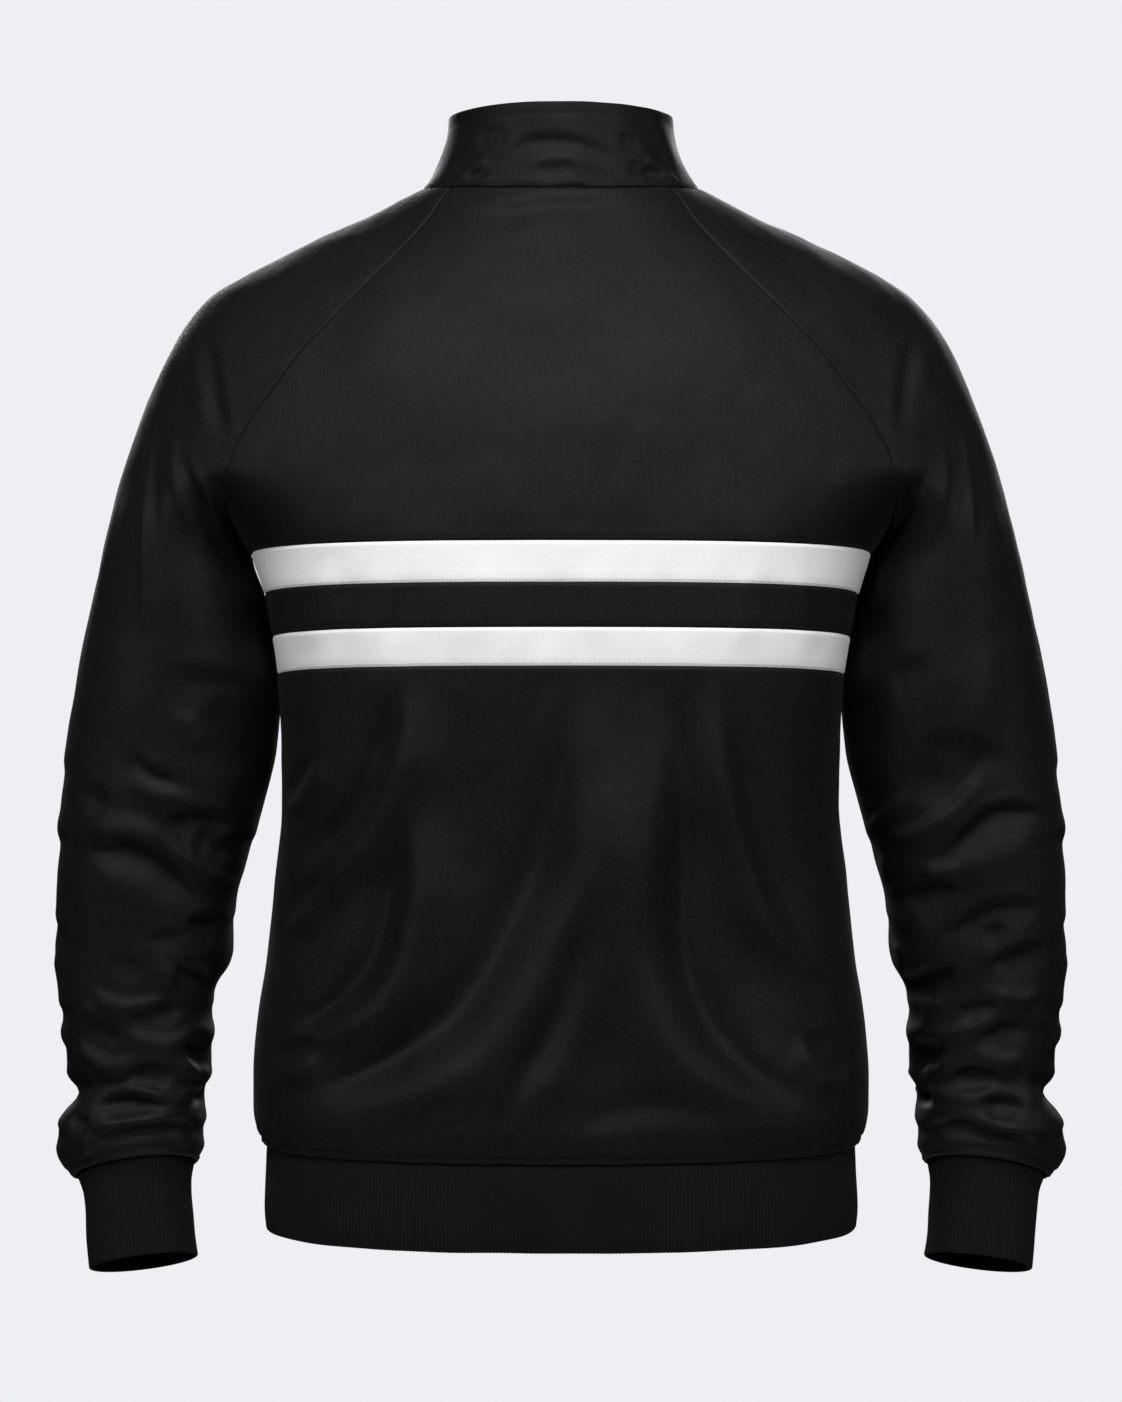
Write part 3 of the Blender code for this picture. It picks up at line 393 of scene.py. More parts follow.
RIGHT_ARM_ROWS = (
    (-2.2, 6, 0, ((-217, -169), (-221, -152), (-224, -130), (-228, -112), (-234, -92))),
    (1.2, 6, 0, ((-231, -140), (-236, -115), (-239, -92))),
    (1.6, 3.2, 0, ((-264, -141), (-268, -160), (-271, -192), (-272, -221), (-271, -251))),
    (1.6, 4, 0, ((-255, -163), (-254, -192), (-246, -229), (-241, -251))),
    (-4.0, 6, 0, ((-248, -184), (-239, -196), (-224, -221), (-213, -247), (-208, -275))),
    (-4.5, 6, 0, ((-226, -202), (-213, -214), (-206, -238))),
    (2.2, 5, 0, ((-232, -218), (-221, -240), (-214, -268))),
    (2.0, 5, 0, ((-213, -294), (-208, -320), (-205, -345))),
    (-2.2, 12, .2, ((-215, -318), (-230, -315), (-246, -313))),
    (2.6, 12, 0, ((-279, -294), (-283, -331), (-277, -362), (-266, -395))),
    (-5.0, 17, .1, ((-232, -402), (-250, -384), (-260, -352))),
    (3.4, 5, .2, ((-207, -431), (-233, -425), (-251, -414), (-266, -402), (-278, -385), (-284, -369))),
    (2.2, 4, .2, ((-207, -426), (-215, -415), (-225, -403), (-228, -395))),
    (-6.5, 7, .4, ((-243, -441), (-256, -436), (-271, -423), (-286, -411), (-307, -408), (-330, -414))),
    (1.8, 13, 0, ((-252, -452), (-285, -434), (-318, -428))),
    (2.5, 5, .2, ((-241, -447), (-255, -449), (-268, -444))),
    (-5.5, 8, .35, ((-222, -472), (-243, -460), (-261, -461), (-269, -463))),
    (-5.0, 7, .4, ((-251, -497), (-266, -487), (-281, -477), (-297, -472), (-315, -474), (-325, -482))),
    (-2.5, 6, .3, ((-281, -495), (-292, -491), (-300, -491))),
    (-4.5, 7, .35, ((-284, -520), (-294, -511), (-312, -504), (-327, -499))),
    (3.0, 5, .2, ((-284, -524), (-294, -532), (-312, -535), (-326, -528))),
    (-5.0, 8, .3, ((-232, -540), (-240, -526), (-253, -519), (-271, -519))),
    (2.0, 3.6, 0, ((-222, -498), (-231, -507), (-234, -522), (-229, -534))),
    (2.0, 3.6, 0, ((-217, -440), (-221, -452), (-218, -468))),
    (-4.0, 5.5, .35, ((-263, -547), (-279, -541), (-297, -539))),
    (2.8, 4, .2, ((-248, -561), (-261, -560), (-276, -555), (-289, -547), (-299, -542))),
    (2.2, 4.5, 0, ((-263, -530), (-253, -546), (-248, -560))),
    (-4.5, 6, .35, ((-276, -567), (-289, -560), (-304, -555), (-321, -561))),
    (2.4, 4.5, .2, ((-276, -571), (-289, -576), (-302, -578), (-316, -575))),
    (-6.5, 9, .3, ((-231, -572), (-245, -571), (-264, -573))),
    (2.6, 4.5, .1, ((-243, -597), (-251, -587), (-263, -576))),
    (-4.5, 5, .4, ((-260, -595), (-269, -589), (-281, -586), (-299, -591))),
    (2.4, 4.5, .2, ((-244, -598), (-258, -602), (-274, -603), (-289, -599), (-300, -594))),
    (-6.5, 6, .4, ((-278, -609), (-292, -606), (-307, -608), (-317, -618))),
    (2.8, 4.5, .2, ((-277, -613), (-289, -619), (-307, -624), (-322, -626), (-334, -627))),
    (-8.0, 6, .4, ((-240, -629), (-256, -624), (-269, -622), (-281, -625), (-294, -629), (-312, -633),
                   (-332, -641))),
    (-5.0, 6, 0, ((-241, -601), (-247, -609), (-244, -617))),
    (2.4, 4, 0, ((-309, -588), (-317, -602), (-320, -616))),
    (1.8, 4, 0, ((-322, -541), (-326, -551), (-331, -561))),
    (2.5, 5, .1, ((-241, -636), (-261, -633), (-281, -636), (-302, -640), (-324, -648))),
    (1.2, 2.6, 0, ((-258, -629), (-275, -627), (-292, -632))),
)

OUTSIDE_ROWS = (
    (-3.0, 9, 0, ((10, -150), (0, -200), (-8, -260), (-4, -310))),
    (2.0, 8, 0, ((-20, -160), (-26, -230), (-20, -290))),
    (-2.5, 9, 0, ((-42, -200), (-48, -270), (-40, -340))),
    (2.0, 9, 0, ((30, -190), (34, -250), (24, -330))),
    (-3.0, 8, .3, ((-40, -372), (-10, -384), (24, -378))),
    (-4.0, 7, .35, ((-54, -427), (-24, -434), (15, -430), (42, -440))),
    (3.0, 8, .1, ((-58, -414), (-20, -419), (24, -416))),
    (-4.0, 6, .35, ((-62, -492), (-28, -486), (6, -494), (30, -506))),
    (2.5, 6, .2, ((-60, -510), (-30, -517), (8, -512))),
    (-4.5, 6, .35, ((-70, -536), (-42, -545), (-12, -549), (22, -542))),
    (2.6, 5, .2, ((-50, -556), (-20, -562), (14, -556))),
    (-4.5, 6, .35, ((-74, -578), (-46, -572), (-16, -575), (18, -584))),
    (2.6, 5, .2, ((-70, -588), (-38, -592), (4, -590))),
    (-6.5, 6, .4, ((-80, -606), (-52, -600), (-20, -604), (18, -613))),
    (-7.0, 6, .4, ((-82, -634), (-50, -631), (-20, -630), (14, -634))),
    (2.5, 5, .1, ((-80, -647), (-40, -645), (6, -641))),
)

COLLAR_ROWS = (
    (-1.5, 5, .2, ((57, 40), (45, 38.5), (33, 39.5))),
    (-2.0, 5, .2, ((58, 17), (45, 19), (35, 21), (24, 31), (7, 33), (-10, 31), (-30, 25), (-48, 23))),
    (1.3, 6, 0, ((30, 14), (12, 22), (-12, 21), (-34, 13))),
    (-1.3, 4.5, .2, ((20, 13), (0, 14.5), (-12, 16))),
    (-1.3, 4, .2, ((-38, 37), (-54, 33))),
    (-1.8, 4.5, .2, ((-44, 19), (-56, 17), (-63, 20))),
    (1.7, 2.6, 0, ((74, 8), (62, 15), (54, 19), (51, 25))),
    (1.3, 2.3, 0, ((73, 7), (60, 6), (43, 9))),
    (-1.9, 3.6, 0, ((66, 11), (58, 12), (47, 13))),
    (1.9, 2.6, 0, ((-57, 30), (-60, 21), (-70, 15), (-80, 7))),
    (1.3, 2.3, 0, ((-46, 10), (-59, 8.5), (-74, 9))),
    (-2.0, 3.6, 0, ((-52, 15), (-62, 13), (-71, 12.5))),
)


# ---------------------------------------------------------------- small mathematics
def eased(share: Array) -> Array:
    """Smooth step: 0 below 0, 1 above 1, three squares less two cubes between."""
    share = np.clip(share, 0.0, 1.0)
    return share * share * (3 - 2 * share)


def hermite(share: Array, start: Array, end: Array, leaving: Array, arriving: Array) -> Array:
    """Cubic from start to end, with its slopes at both; share runs from 0 to 1."""
    first = (1 + 2 * share) * (1 - share) ** 2 * start + share * (1 - share) ** 2 * leaving
    return first + share ** 2 * (3 - 2 * share) * end + share ** 2 * (share - 1) * arriving


def smooth(keys: Array, values: Array, at: Array) -> Array:
    """Read a curve through (keys, values) that never swings past its neighbours.

    Cubic Hermite pieces whose slopes are the harmonic mean of the neighbouring slopes.

    Args:
        keys: where the values are given.
        values: the values.
        at: where they are wanted.

    Returns:
        The curve at those places.
    """
    order = np.argsort(keys)
    keys, values = keys[order], values[order]
    at = np.clip(np.asarray(at, dtype=float), keys[0], keys[-1])
    steps = np.diff(keys)
    slopes = np.diff(values) / steps
    product = slopes[:-1] * slopes[1:]
    total = np.where(product > 0, slopes[:-1] + slopes[1:], 1.0)
    inner = np.where(product > 0, 2 * product / total, 0.0)
    tangents = np.concatenate(([slopes[0]], inner, [slopes[-1]]))
    place = np.clip(np.searchsorted(keys, at) - 1, 0, len(steps) - 1)
    step = steps[place]
    leaving, arriving = step * tangents[place], step * tangents[place + 1]
    return hermite((at - keys[place]) / step, values[place], values[place + 1], leaving, arriving)


def unit(vectors: Array) -> Array:
    """Vectors divided by their lengths."""
    return vectors / np.maximum(np.linalg.norm(vectors, axis=-1, keepdims=True), 1e-12)


def run_along(points: Array, axis: int) -> Array:
    """Distance run along the rows or columns of a grid: the running sum of its steps.

    Args:
        points: the grid, or a line.
        axis: that the distance runs along.

    Returns:
        The distances, from 0.
    """
    steps = np.linalg.norm(np.diff(points, axis=axis), axis=-1)
    start = np.zeros_like(np.take(steps, [0], axis=axis))
    return np.concatenate((start, np.cumsum(steps, axis=axis)), axis=axis)


def read_line(line: Array, length: Array, at: Array) -> Array:
    """Read three columns that are given at distances along a line."""
    return np.stack([np.interp(at, length, line[:, axis]) for axis in range(3)], axis=-1)


def rounded(points: Array) -> Array:
    """Draw a smooth line through points: seven cubic steps each, whose slopes join a point's neighbours.

    Args:
        points: n by 2.

    Returns:
        The line.
    """
    slopes = np.gradient(points, axis=0)
    share = np.linspace(0.0, 1.0, 7, endpoint=False)[None, :, None]
    line = hermite(share, points[:-1, None], points[1:, None], slopes[:-1, None], slopes[1:, None])
    return np.concatenate((line.reshape(-1, 2), points[-1:]))


def beside_line(places: Array, line: Array) -> tuple[Array, Array]:
    """Find how far places lie to the left of a line, and at what share of its length.

    Args:
        places: n by 2.
        line: m by 2.

    Returns:
        The signed distance to the nearest piece of the line, and the share.
    """
    start, step = line[:-1], np.diff(line, axis=0)
    length = run_along(line, 0)
    rest = places[:, None] - start[None]
    along = np.clip((rest * step).sum(-1) / np.maximum((step ** 2).sum(-1), 1e-12), 0.0, 1.0)
    away = rest - along[..., None] * step
    distance = np.hypot(away[..., 0], away[..., 1])
    nearest = distance.argmin(axis=1)
    pick = np.arange(len(places))
    left = step[nearest, 0] * away[pick, nearest, 1] - step[nearest, 1] * away[pick, nearest, 0]
    share = (length[nearest] + along[pick, nearest] * (length[nearest + 1] - length[nearest])) / length[-1]
    return np.where(left < 0, -1.0, 1.0) * distance[pick, nearest], share


def seen_from(view: View, points: Array, outward: Array) -> tuple[Array, Array]:
    """Place points in a view, and weigh each by how squarely the cloth faces it.

    Args:
        view: the side they are seen from.
        points: places in space, n by 3.
        outward: the cloth's unit normals there.

    Returns:
        Places (to the right, up), n by 2, and the weights.
    """
    out = outward[:, 0] * np.sign(points[:, 0])
    right, facing, start, span = {
        View.BEHIND: (-points[:, 0], outward[:, 1], 0.02, 0.40),
        View.FRONT: (points[:, 0], -outward[:, 1], 0.02, 0.40),
        View.OUTSIDE: (points[:, 1], out, 0.40, 0.40),
        View.INSIDE: (points[:, 1], -out, 0.40, 0.40),
    }[view]
    return np.stack([right, points[:, 2]], axis=-1), eased((facing - start) / span)


def fold_rise(fold: Fold, places: Array) -> Array:
    """Height of one fold at places in its view.

    A crease is the height times exp(-t²), where t is the distance in widths from a crest that lies a little
    to the right of the line. Each flank swings past the level, by a factor (1 - 0.8 t²) on the left and
    (1 - 0.25 t²) on the right. A ribbon is the height times -2.33 d exp(-t²), where d is the distance from
    the line in widths: it sinks by the height on the line's left and rises as much on its right. In both, t
    is stretched so that a steep fold is narrower on the left and wider on the right. They fade to the ends of
    the line, where they are narrower too.

    Args:
        fold: the fold.
        places: (to the right, up) in metres, n by 2.

    Returns:
        The heights, n.
    """
    line = rounded(np.array(fold.line, dtype=float)) * 0.001
    if fold.view is View.BEHIND:
        line[:, 0] *= -1
    width = fold.width * 0.001
    low, high = line.min(axis=0) - 4 * width, line.max(axis=0) + 4 * width
    near = ((places > low) & (places < high)).all(axis=1)
    rise = np.zeros(len(places))
    if near.any():
        distance, share = beside_line(places[near], line)
        cap = eased(share / FADE_SHARE) * eased((1 - share) / FADE_SHARE)
        narrowed = width * (END_WIDTH + (1 - END_WIDTH) * cap)
        ribbon = fold.relief is Relief.RIBBON
        distance = distance + (0.0 if ribbon else CREST_SHIFT * width)
        on_left = distance > 0
        t = distance / (narrowed * np.where(on_left, 1 - LEFT_LEAN * fold.steep, 1 + RIGHT_LEAN * fold.steep))
        flanks = np.where(on_left, 1 - 0.8 * t ** 2, 1 - 0.25 * t ** 2)
        shape = (-2.33 * distance / narrowed if ribbon else flanks) * np.exp(-t ** 2)
        rise[near] = fold.height * 0.001 * cap * shape
    return rise


@dataclass(frozen=True)
class Ripple:
    """Small uneven waves of hanging cloth: a sum of sines of the place, longer up than across."""

    seed: int
    height: float
    shortest: float
    longest: float
    count: int = 10
    upright: float = 0.55

    def rise(self, points: Array) -> Array:
        """Height of the waves at places, n by 3.

        Args:
            points: the places.

        Returns:
            The heights, n.
        """
        random = np.random.default_rng(self.seed)
        length = random.uniform(self.shortest, self.longest, self.count)
        way = unit(random.normal(size=(self.count, 3)) * (1.0, 1.0, self.upright))
        wave = way * (2 * pi / length)[:, None]
        phase = random.uniform(0.0, 2 * pi, self.count)
        return self.height * np.sin(points @ wave.T + phase).sum(axis=1) / np.sqrt(self.count)


# ---------------------------------------------------------------- the form
@dataclass(frozen=True)
class Sections:
    """Level sections of a form: named columns, the first of them the height."""

    names: tuple[str, ...]
    rows: tuple[tuple[float, ...], ...]

    def read(self, name: str, height: Array) -> Array:
        """Read a column smoothly at heights."""
        table = np.array(self.rows)
        return smooth(table[:, 0], table[:, self.names.index(name)], height)


YOKE = Sections(
    ("height", "half_width", "back", "front", "back_rise", "front_rise", "back_seam", "front_seam"),
    (
        (0.009, 0.0945, 0.0750, 0.0830, -0.009, -0.044, 50.5, 48.0),
        (-0.010, 0.1325, 0.0870, 0.0920, -0.018, -0.047, 42.5, 43.0),
        (-0.031, 0.1785, 0.1020, 0.1010, -0.027, -0.048, 39.5, 40.0),
        (-0.050, 0.2165, 0.1128, 0.1085, -0.032, -0.049, 38.5, 38.5),
        (-0.066, 0.2395, 0.1195, 0.1140, -0.034, -0.048, 39.0, 38.5),
        (-0.090, 0.2590, 0.1260, 0.1205, -0.030, -0.042, 41.0, 40.0),
        (-0.120, 0.2740, 0.1320, 0.1270, -0.021, -0.031, 43.0, 42.0),
        (-0.150, 0.2862, 0.1365, 0.1305, -0.0125, -0.0195, 45.5, 44.5),
        (-0.180, 0.2958, 0.1395, 0.1330, -0.0055, -0.0095, 47.0, 46.5),
        (-0.210, 0.3038, 0.1421, 0.1362, -0.0015, -0.003, 47.0, 46.5),
        (-0.240, 0.3115, 0.1440, 0.1380, 0.000, 0.000, 47.0, 46.5),
    ),
)
BODY_NAMES = ("height", "half_width", "back", "front", "side", "fullness")
TORSO = Sections(
    BODY_NAMES,
    (
        (-0.180, 0.2200, 0.1395, 0.1330, -0.008, 0.667),
        (-0.210, 0.2148, 0.1421, 0.1362, -0.008, 0.680),
        (-0.241, 0.2088, 0.1440, 0.1380, -0.008, 0.700),
        (-0.266, 0.2003, 0.1448, 0.1380, 0.004, 0.715),
        (-0.294, 0.1946, 0.1443, 0.1375, 0.010, 0.730),
        (-0.322, 0.1905, 0.1425, 0.1365, 0.010, 0.750),
        (-0.371, 0.1880, 0.1385, 0.1355, 0.006, 0.780),
        (-0.405, 0.1882, 0.1345, 0.1345, 0.002, 0.800),
        (-0.456, 0.1932, 0.1290, 0.1345, 0.000, 0.820),
        (-0.507, 0.1988, 0.1270, 0.1350, 0.000, 0.820),
        (-0.558, 0.2060, 0.1280, 0.1360, 0.000, 0.820),
        (-0.592, 0.2084, 0.1305, 0.1370, 0.000, 0.820),
        (-0.612, 0.2082, 0.1305, 0.1365, 0.000, 0.820),
        (-0.626, 0.2060, 0.1280, 0.1340, 0.000, 0.820),
        (-0.636, 0.1998, 0.1235, 0.1290, 0.000, 0.820),
    ),
)
HEM = Sections(
    BODY_NAMES,
    (
        (-0.636, 0.1990, 0.1230, 0.1285, 0.000, 0.820),
        (-0.650, 0.1994, 0.1245, 0.1295, 0.000, 0.820),
        (-0.680, 0.2005, 0.1255, 0.1300, 0.000, 0.820),
        (-0.693, 0.1995, 0.1240, 0.1290, 0.000, 0.820),
    ),
)
ARM_NAMES = ("height", "inner", "outer", "middle", "depth", "tip_back", "tip_out")
ARM = Sections(
    ARM_NAMES,
    (
        (-0.180, 0.2200, 0.2958, -0.004, 0.0800, 0.00, 0.00),
        (-0.241, 0.2108, 0.3125, -0.008, 0.0780, 0.00, 0.00),
        (-0.270, 0.2012, 0.3195, -0.011, 0.0780, 0.00, 0.00),
        (-0.303, 0.1955, 0.3270, -0.014, 0.0770, 0.00, 0.00),
        (-0.337, 0.1922, 0.3335, -0.015, 0.0745, 0.00, 0.00),
        (-0.371, 0.1950, 0.3390, -0.016, 0.0700, 0.00, 0.00),
        (-0.405, 0.2030, 0.3420, -0.016, 0.0660, 0.00, 0.00),
        (-0.439, 0.2120, 0.3445, -0.017, 0.0620, 0.02, 0.00),
        (-0.473, 0.2225, 0.3455, -0.019, 0.0580, 0.03, 0.00),
        (-0.508, 0.2255, 0.3470, -0.022, 0.0545, 0.05, 0.00),
        (-0.541, 0.2385, 0.3450, -0.025, 0.0515, 0.08, 0.00),
        (-0.575, 0.2390, 0.3420, -0.028, 0.0495, 0.12, 0.00),
        (-0.592, 0.2405, 0.3390, -0.029, 0.0475, 0.15, -0.02),
        (-0.604, 0.2430, 0.3340, -0.030, 0.0450, 0.18, -0.04),
        (-0.618, 0.2440, 0.3420, -0.030, 0.0480, 0.21, -0.06),
        (-0.632, 0.2440, 0.3485, -0.030, 0.0500, 0.24, -0.08),
        (-0.646, 0.2450, 0.3465, -0.030, 0.0480, 0.28, -0.11),
        (-0.654, 0.2480, 0.3420, -0.029, 0.0440, 0.30, -0.13),
        (-0.660, 0.2515, 0.3340, -0.028, 0.0390, 0.32, -0.14),
    ),
)
CUFF = Sections(
    ARM_NAMES,
    (
        (-0.660, 0.2525, 0.3325, -0.0280, 0.0370, 0.32, -0.14),
        (-0.672, 0.2545, 0.3280, -0.0250, 0.0330, 0.32, -0.14),
        (-0.700, 0.2525, 0.3250, -0.0200, 0.0320, 0.32, -0.14),
        (-0.7225, 0.2490, 0.3225, -0.0160, 0.0315, 0.32, -0.14),
    ),
)


class JacketForm:
    """The jacket's smooth form: places as functions of a height and a share or angle round a section."""

    def parting(self, height: Array, nearness: Array) -> Array:
        """How far the arm has parted from the body: 0 at the cleft, 1 at the underarm.

        A pointed curve (one less a cosine) at the raglan seam, easing to an even step away from it.

        Args:
            height: of the section.
            nearness: to the raglan seam, 1 at it.

        Returns:
            The share of the way.
        """
        share = np.clip((CLEFT_HEIGHT - height) / (CLEFT_HEIGHT - UNDERARM_HEIGHT), 0.0, 1.0)
        even = share ** 2 * (3 - 2 * share)
        return even + (1.0 - np.cos(share * pi / 2) - even) * nearness ** PARTING_FADE

    def yoke(self, height: Array, angle: Array) -> Array:
        """Place on the undivided shoulders: an oval that dips to the back and front by a cosine's power.

        Args:
            height: of the section at its sides.
            angle: from the middle of the back, to pi at the front.

        Returns:
            The places.
        """
        cosine = np.cos(angle)
        at_back = cosine > 0
        depth = np.where(at_back, YOKE.read("back", height), YOKE.read("front", height))
        rise = np.where(at_back, YOKE.read("back_rise", height), YOKE.read("front_rise", height))
        across = YOKE.read("half_width", height) * np.sin(angle)
        up = height + rise * np.abs(cosine) ** SHOULDER_ROUNDING
        return np.stack([across, depth * cosine, up], axis=-1)

    def ring(self, sections: Sections, height: Array, angle: Array) -> Array:
        """Place on a level body section: an oval squared a little by a power of its sine and cosine.

        Args:
            sections: table of the sections.
            height: of the section.
            angle: from the middle of the back.

        Returns:
            The places.
        """
        fullness = sections.read("fullness", height)
        sine = np.sign(angle) * np.abs(np.sin(angle)) ** fullness
        cosine = np.cos(angle)
        cosine = np.sign(cosine) * np.abs(cosine) ** fullness
        side = sections.read("side", height)
        back, front = sections.read("back", height) - side, sections.read("front", height) + side
        depth = np.where(cosine > 0, back, front)
        across = sections.read("half_width", height) * sine
        return np.stack([across, side + depth * cosine, height + 0 * angle], axis=-1)

    def side_angle(self, height: Array) -> Array:
        """Angle from the middle of the back or front to the side seam, half a gap short of a right angle."""
        return np.arccos(SIDE_TRIM ** (1 / TORSO.read("fullness", height)))

    def arm(self, sections: Sections, height: Array, turn: Array) -> Array:
        """Place on a tipped oval of the sleeve; turn runs once round from the underarm over the back.

        Args:
            sections: table of the sections.
            height: of the oval's middle.
            turn: 0 to 1, once round.

        Returns:
            The places.
        """
        inner, outer = sections.read("inner", height), sections.read("outer", height)
        half = (outer - inner) / 2
        across = -half * np.cos(2 * pi * turn)
        along = sections.read("depth", height) * np.sin(2 * pi * turn)
        up = height + sections.read("tip_back", height) * along + sections.read("tip_out", height) * across
        return np.stack([inner + half + across, sections.read("middle", height) + along, up], axis=-1)

    def back(self, height: Array, share: Array) -> Array:
        """Place on the back; share is -1 and 1 at its side edges. Yoke and body mixed by the parting.

        Args:
            height: of the section.
            share: across the back.

        Returns:
            The places.
        """
        side, share = np.sign(share), np.abs(share)
        seam = np.radians(YOKE.read("back_seam", height)) * (1 - RAGLAN_TRIM)
        high = self.yoke(height, np.sin(share * pi / 2) * seam)
        low = self.ring(TORSO, height, share * self.side_angle(height))
        mix = self.parting(height, share)[..., None]
        place = high * (1 - mix) + low * mix
        place[..., 0] *= side
        return place

    def front(self, height: Array, share: Array) -> Array:
        """Place on the left front; share is 0 in the middle and 1 at the side edge.

        Args:
            height: of the section.
            share: across the front.

        Returns:
            The places.
        """
        seam = np.radians(YOKE.read("front_seam", height)) * (1 - RAGLAN_TRIM)
        high = self.yoke(height, pi - np.sin(share * pi / 2) * seam)
        low = self.ring(TORSO, height, pi - share * self.side_angle(height))
        mix = self.parting(height, share)[..., None]
        return high * (1 - mix) + low * mix

    def sleeve(self, height: Array, turn: Array) -> Array:
        """Place on the left sleeve; turn is 0 at the back seam and 1 at the front seam.

        Args:
            height: of the section.
            turn: round the sleeve.

        Returns:
            The places.
        """
        start = np.radians(YOKE.read("back_seam", height)) * (1 + RAGLAN_TRIM)
        end = pi - np.radians(YOKE.read("front_seam", height)) * (1 + RAGLAN_TRIM)
        high = self.yoke(height, start + (end - start) * (1 - np.cos(pi * turn)) / 2)
        mix = self.parting(height, np.abs(2 * turn - 1))[..., None]
        return high * (1 - mix) + self.arm(ARM, height, turn) * mix

    def collar(self, rise: Array, angle: Array) -> Array:
        """Place on the collar; rise is 0 at its seam and 1 on top. Straight up, flared out at the seam.

        Args:
            rise: up the collar.
            angle: from the middle of the back, either way.

        Returns:
            The places.
        """
        seam = self.yoke(NECK_HEIGHT, np.abs(angle))
        seam[..., 0] *= np.sign(angle)
        rise, cosine = np.asarray(rise), np.cos(angle)
        depth = np.where(cosine > 0, COLLAR_TOP_BACK_DEPTH, COLLAR_TOP_FRONT_DEPTH)
        dip = (COLLAR_TOP_BACK - COLLAR_TOP_FRONT) * np.where(cosine < 0, cosine ** 2, 0.0)
        across = COLLAR_TOP_HALF_WIDTH * np.sin(angle)
        top = np.stack([across, depth * cosine, COLLAR_TOP_BACK - dip], axis=-1)
        level = seam + (top - seam) * rise[..., None]
        spread = (1 - rise) ** COLLAR_FLARE - (1 - rise)
        level[..., :2] += spread[..., None] * (seam - top)[..., :2]
        return level

    def seams(self) -> list[tuple[Array, float]]:
        """Seam lines that folds die away at, each with the distance over which they do.

        Returns:
            The raglan, collar, hem and cuff seams.
        """
        height = np.linspace(NECK_HEIGHT, UNDERARM_HEIGHT, 90)
        raglans = [self.back(height, 1.0), self.front(height, 1.0)]
        raglan = np.concatenate(raglans + [line * (-1, 1, 1) for line in raglans])
        angle = np.linspace(-pi, pi, 120)
        collar = self.collar(0.0, angle)
        hem = self.ring(TORSO, HEM_SEAM_HEIGHT, np.linspace(-pi, pi, 160))
        cuff = self.arm(ARM, CUFF_SEAM_HEIGHT, np.linspace(0.0, 1.0, 60))
        cuffs = np.concatenate((cuff, cuff * (-1, 1, 1)))
        return [(raglan, 0.010), (collar, 0.003), (hem, 0.006), (cuffs, 0.005)]


FORM = JacketForm()


# ---------------------------------------------------------------- a cut piece
def stations(length: float, pitch: float, fine_start: bool = True, fine_end: bool = True) -> Array:
    """Even distances along an edge of a length, with fine steps at the ends asked for.

    Args:
        length: of the edge, in metres.
        pitch: of the even steps.
        fine_start: whether the first steps are fine.
        fine_end: whether the last steps are fine.

    Returns:
        Distances from 0 to the length.
    """
    fine = np.array(EDGE_STEPS)
    first = fine if fine_start else fine[:1]
    last = length - (fine if fine_end else fine[:1])[::-1]
    count = max(2, round((last[0] - first[-1]) / pitch))
    return np.concatenate((first[:-1], np.linspace(first[-1], last[0], count + 1), last[1:]))


def spread_evenly(values: Array, line: Array, pitch: float, fine_start: bool = True,
                  fine_end: bool = True) -> Array:
    """Pick values of a parameter so that their places on a probe line are evenly far apart.

    Args:
        values: of the parameter, at the places of the line.
        line: those places.
        pitch: distance wanted between the picked places.
        fine_start: whether the first steps are fine.
        fine_end: whether the last steps are fine.

    Returns:
        The picked values.
    """
    length = run_along(line, 0)
    return np.interp(stations(length[-1], pitch, fine_start, fine_end), length, values)


def laid_out(place: Callable[[Array, Array], Array], down: Array, across: Array) -> Array:
    """Grid of places: a row for each value down and a column for each value across."""
    grid = np.broadcast_to(down[:, None], (len(down), len(across)))
    return place(grid, np.broadcast_to(across, grid.shape))


def pin_at_zip(points: Array) -> Array:
    """Hold the first and last column of a band at the zip's opening."""
    points[:, 0, 0], points[:, -1, 0] = -ZIP_OPENING, ZIP_OPENING
    return points


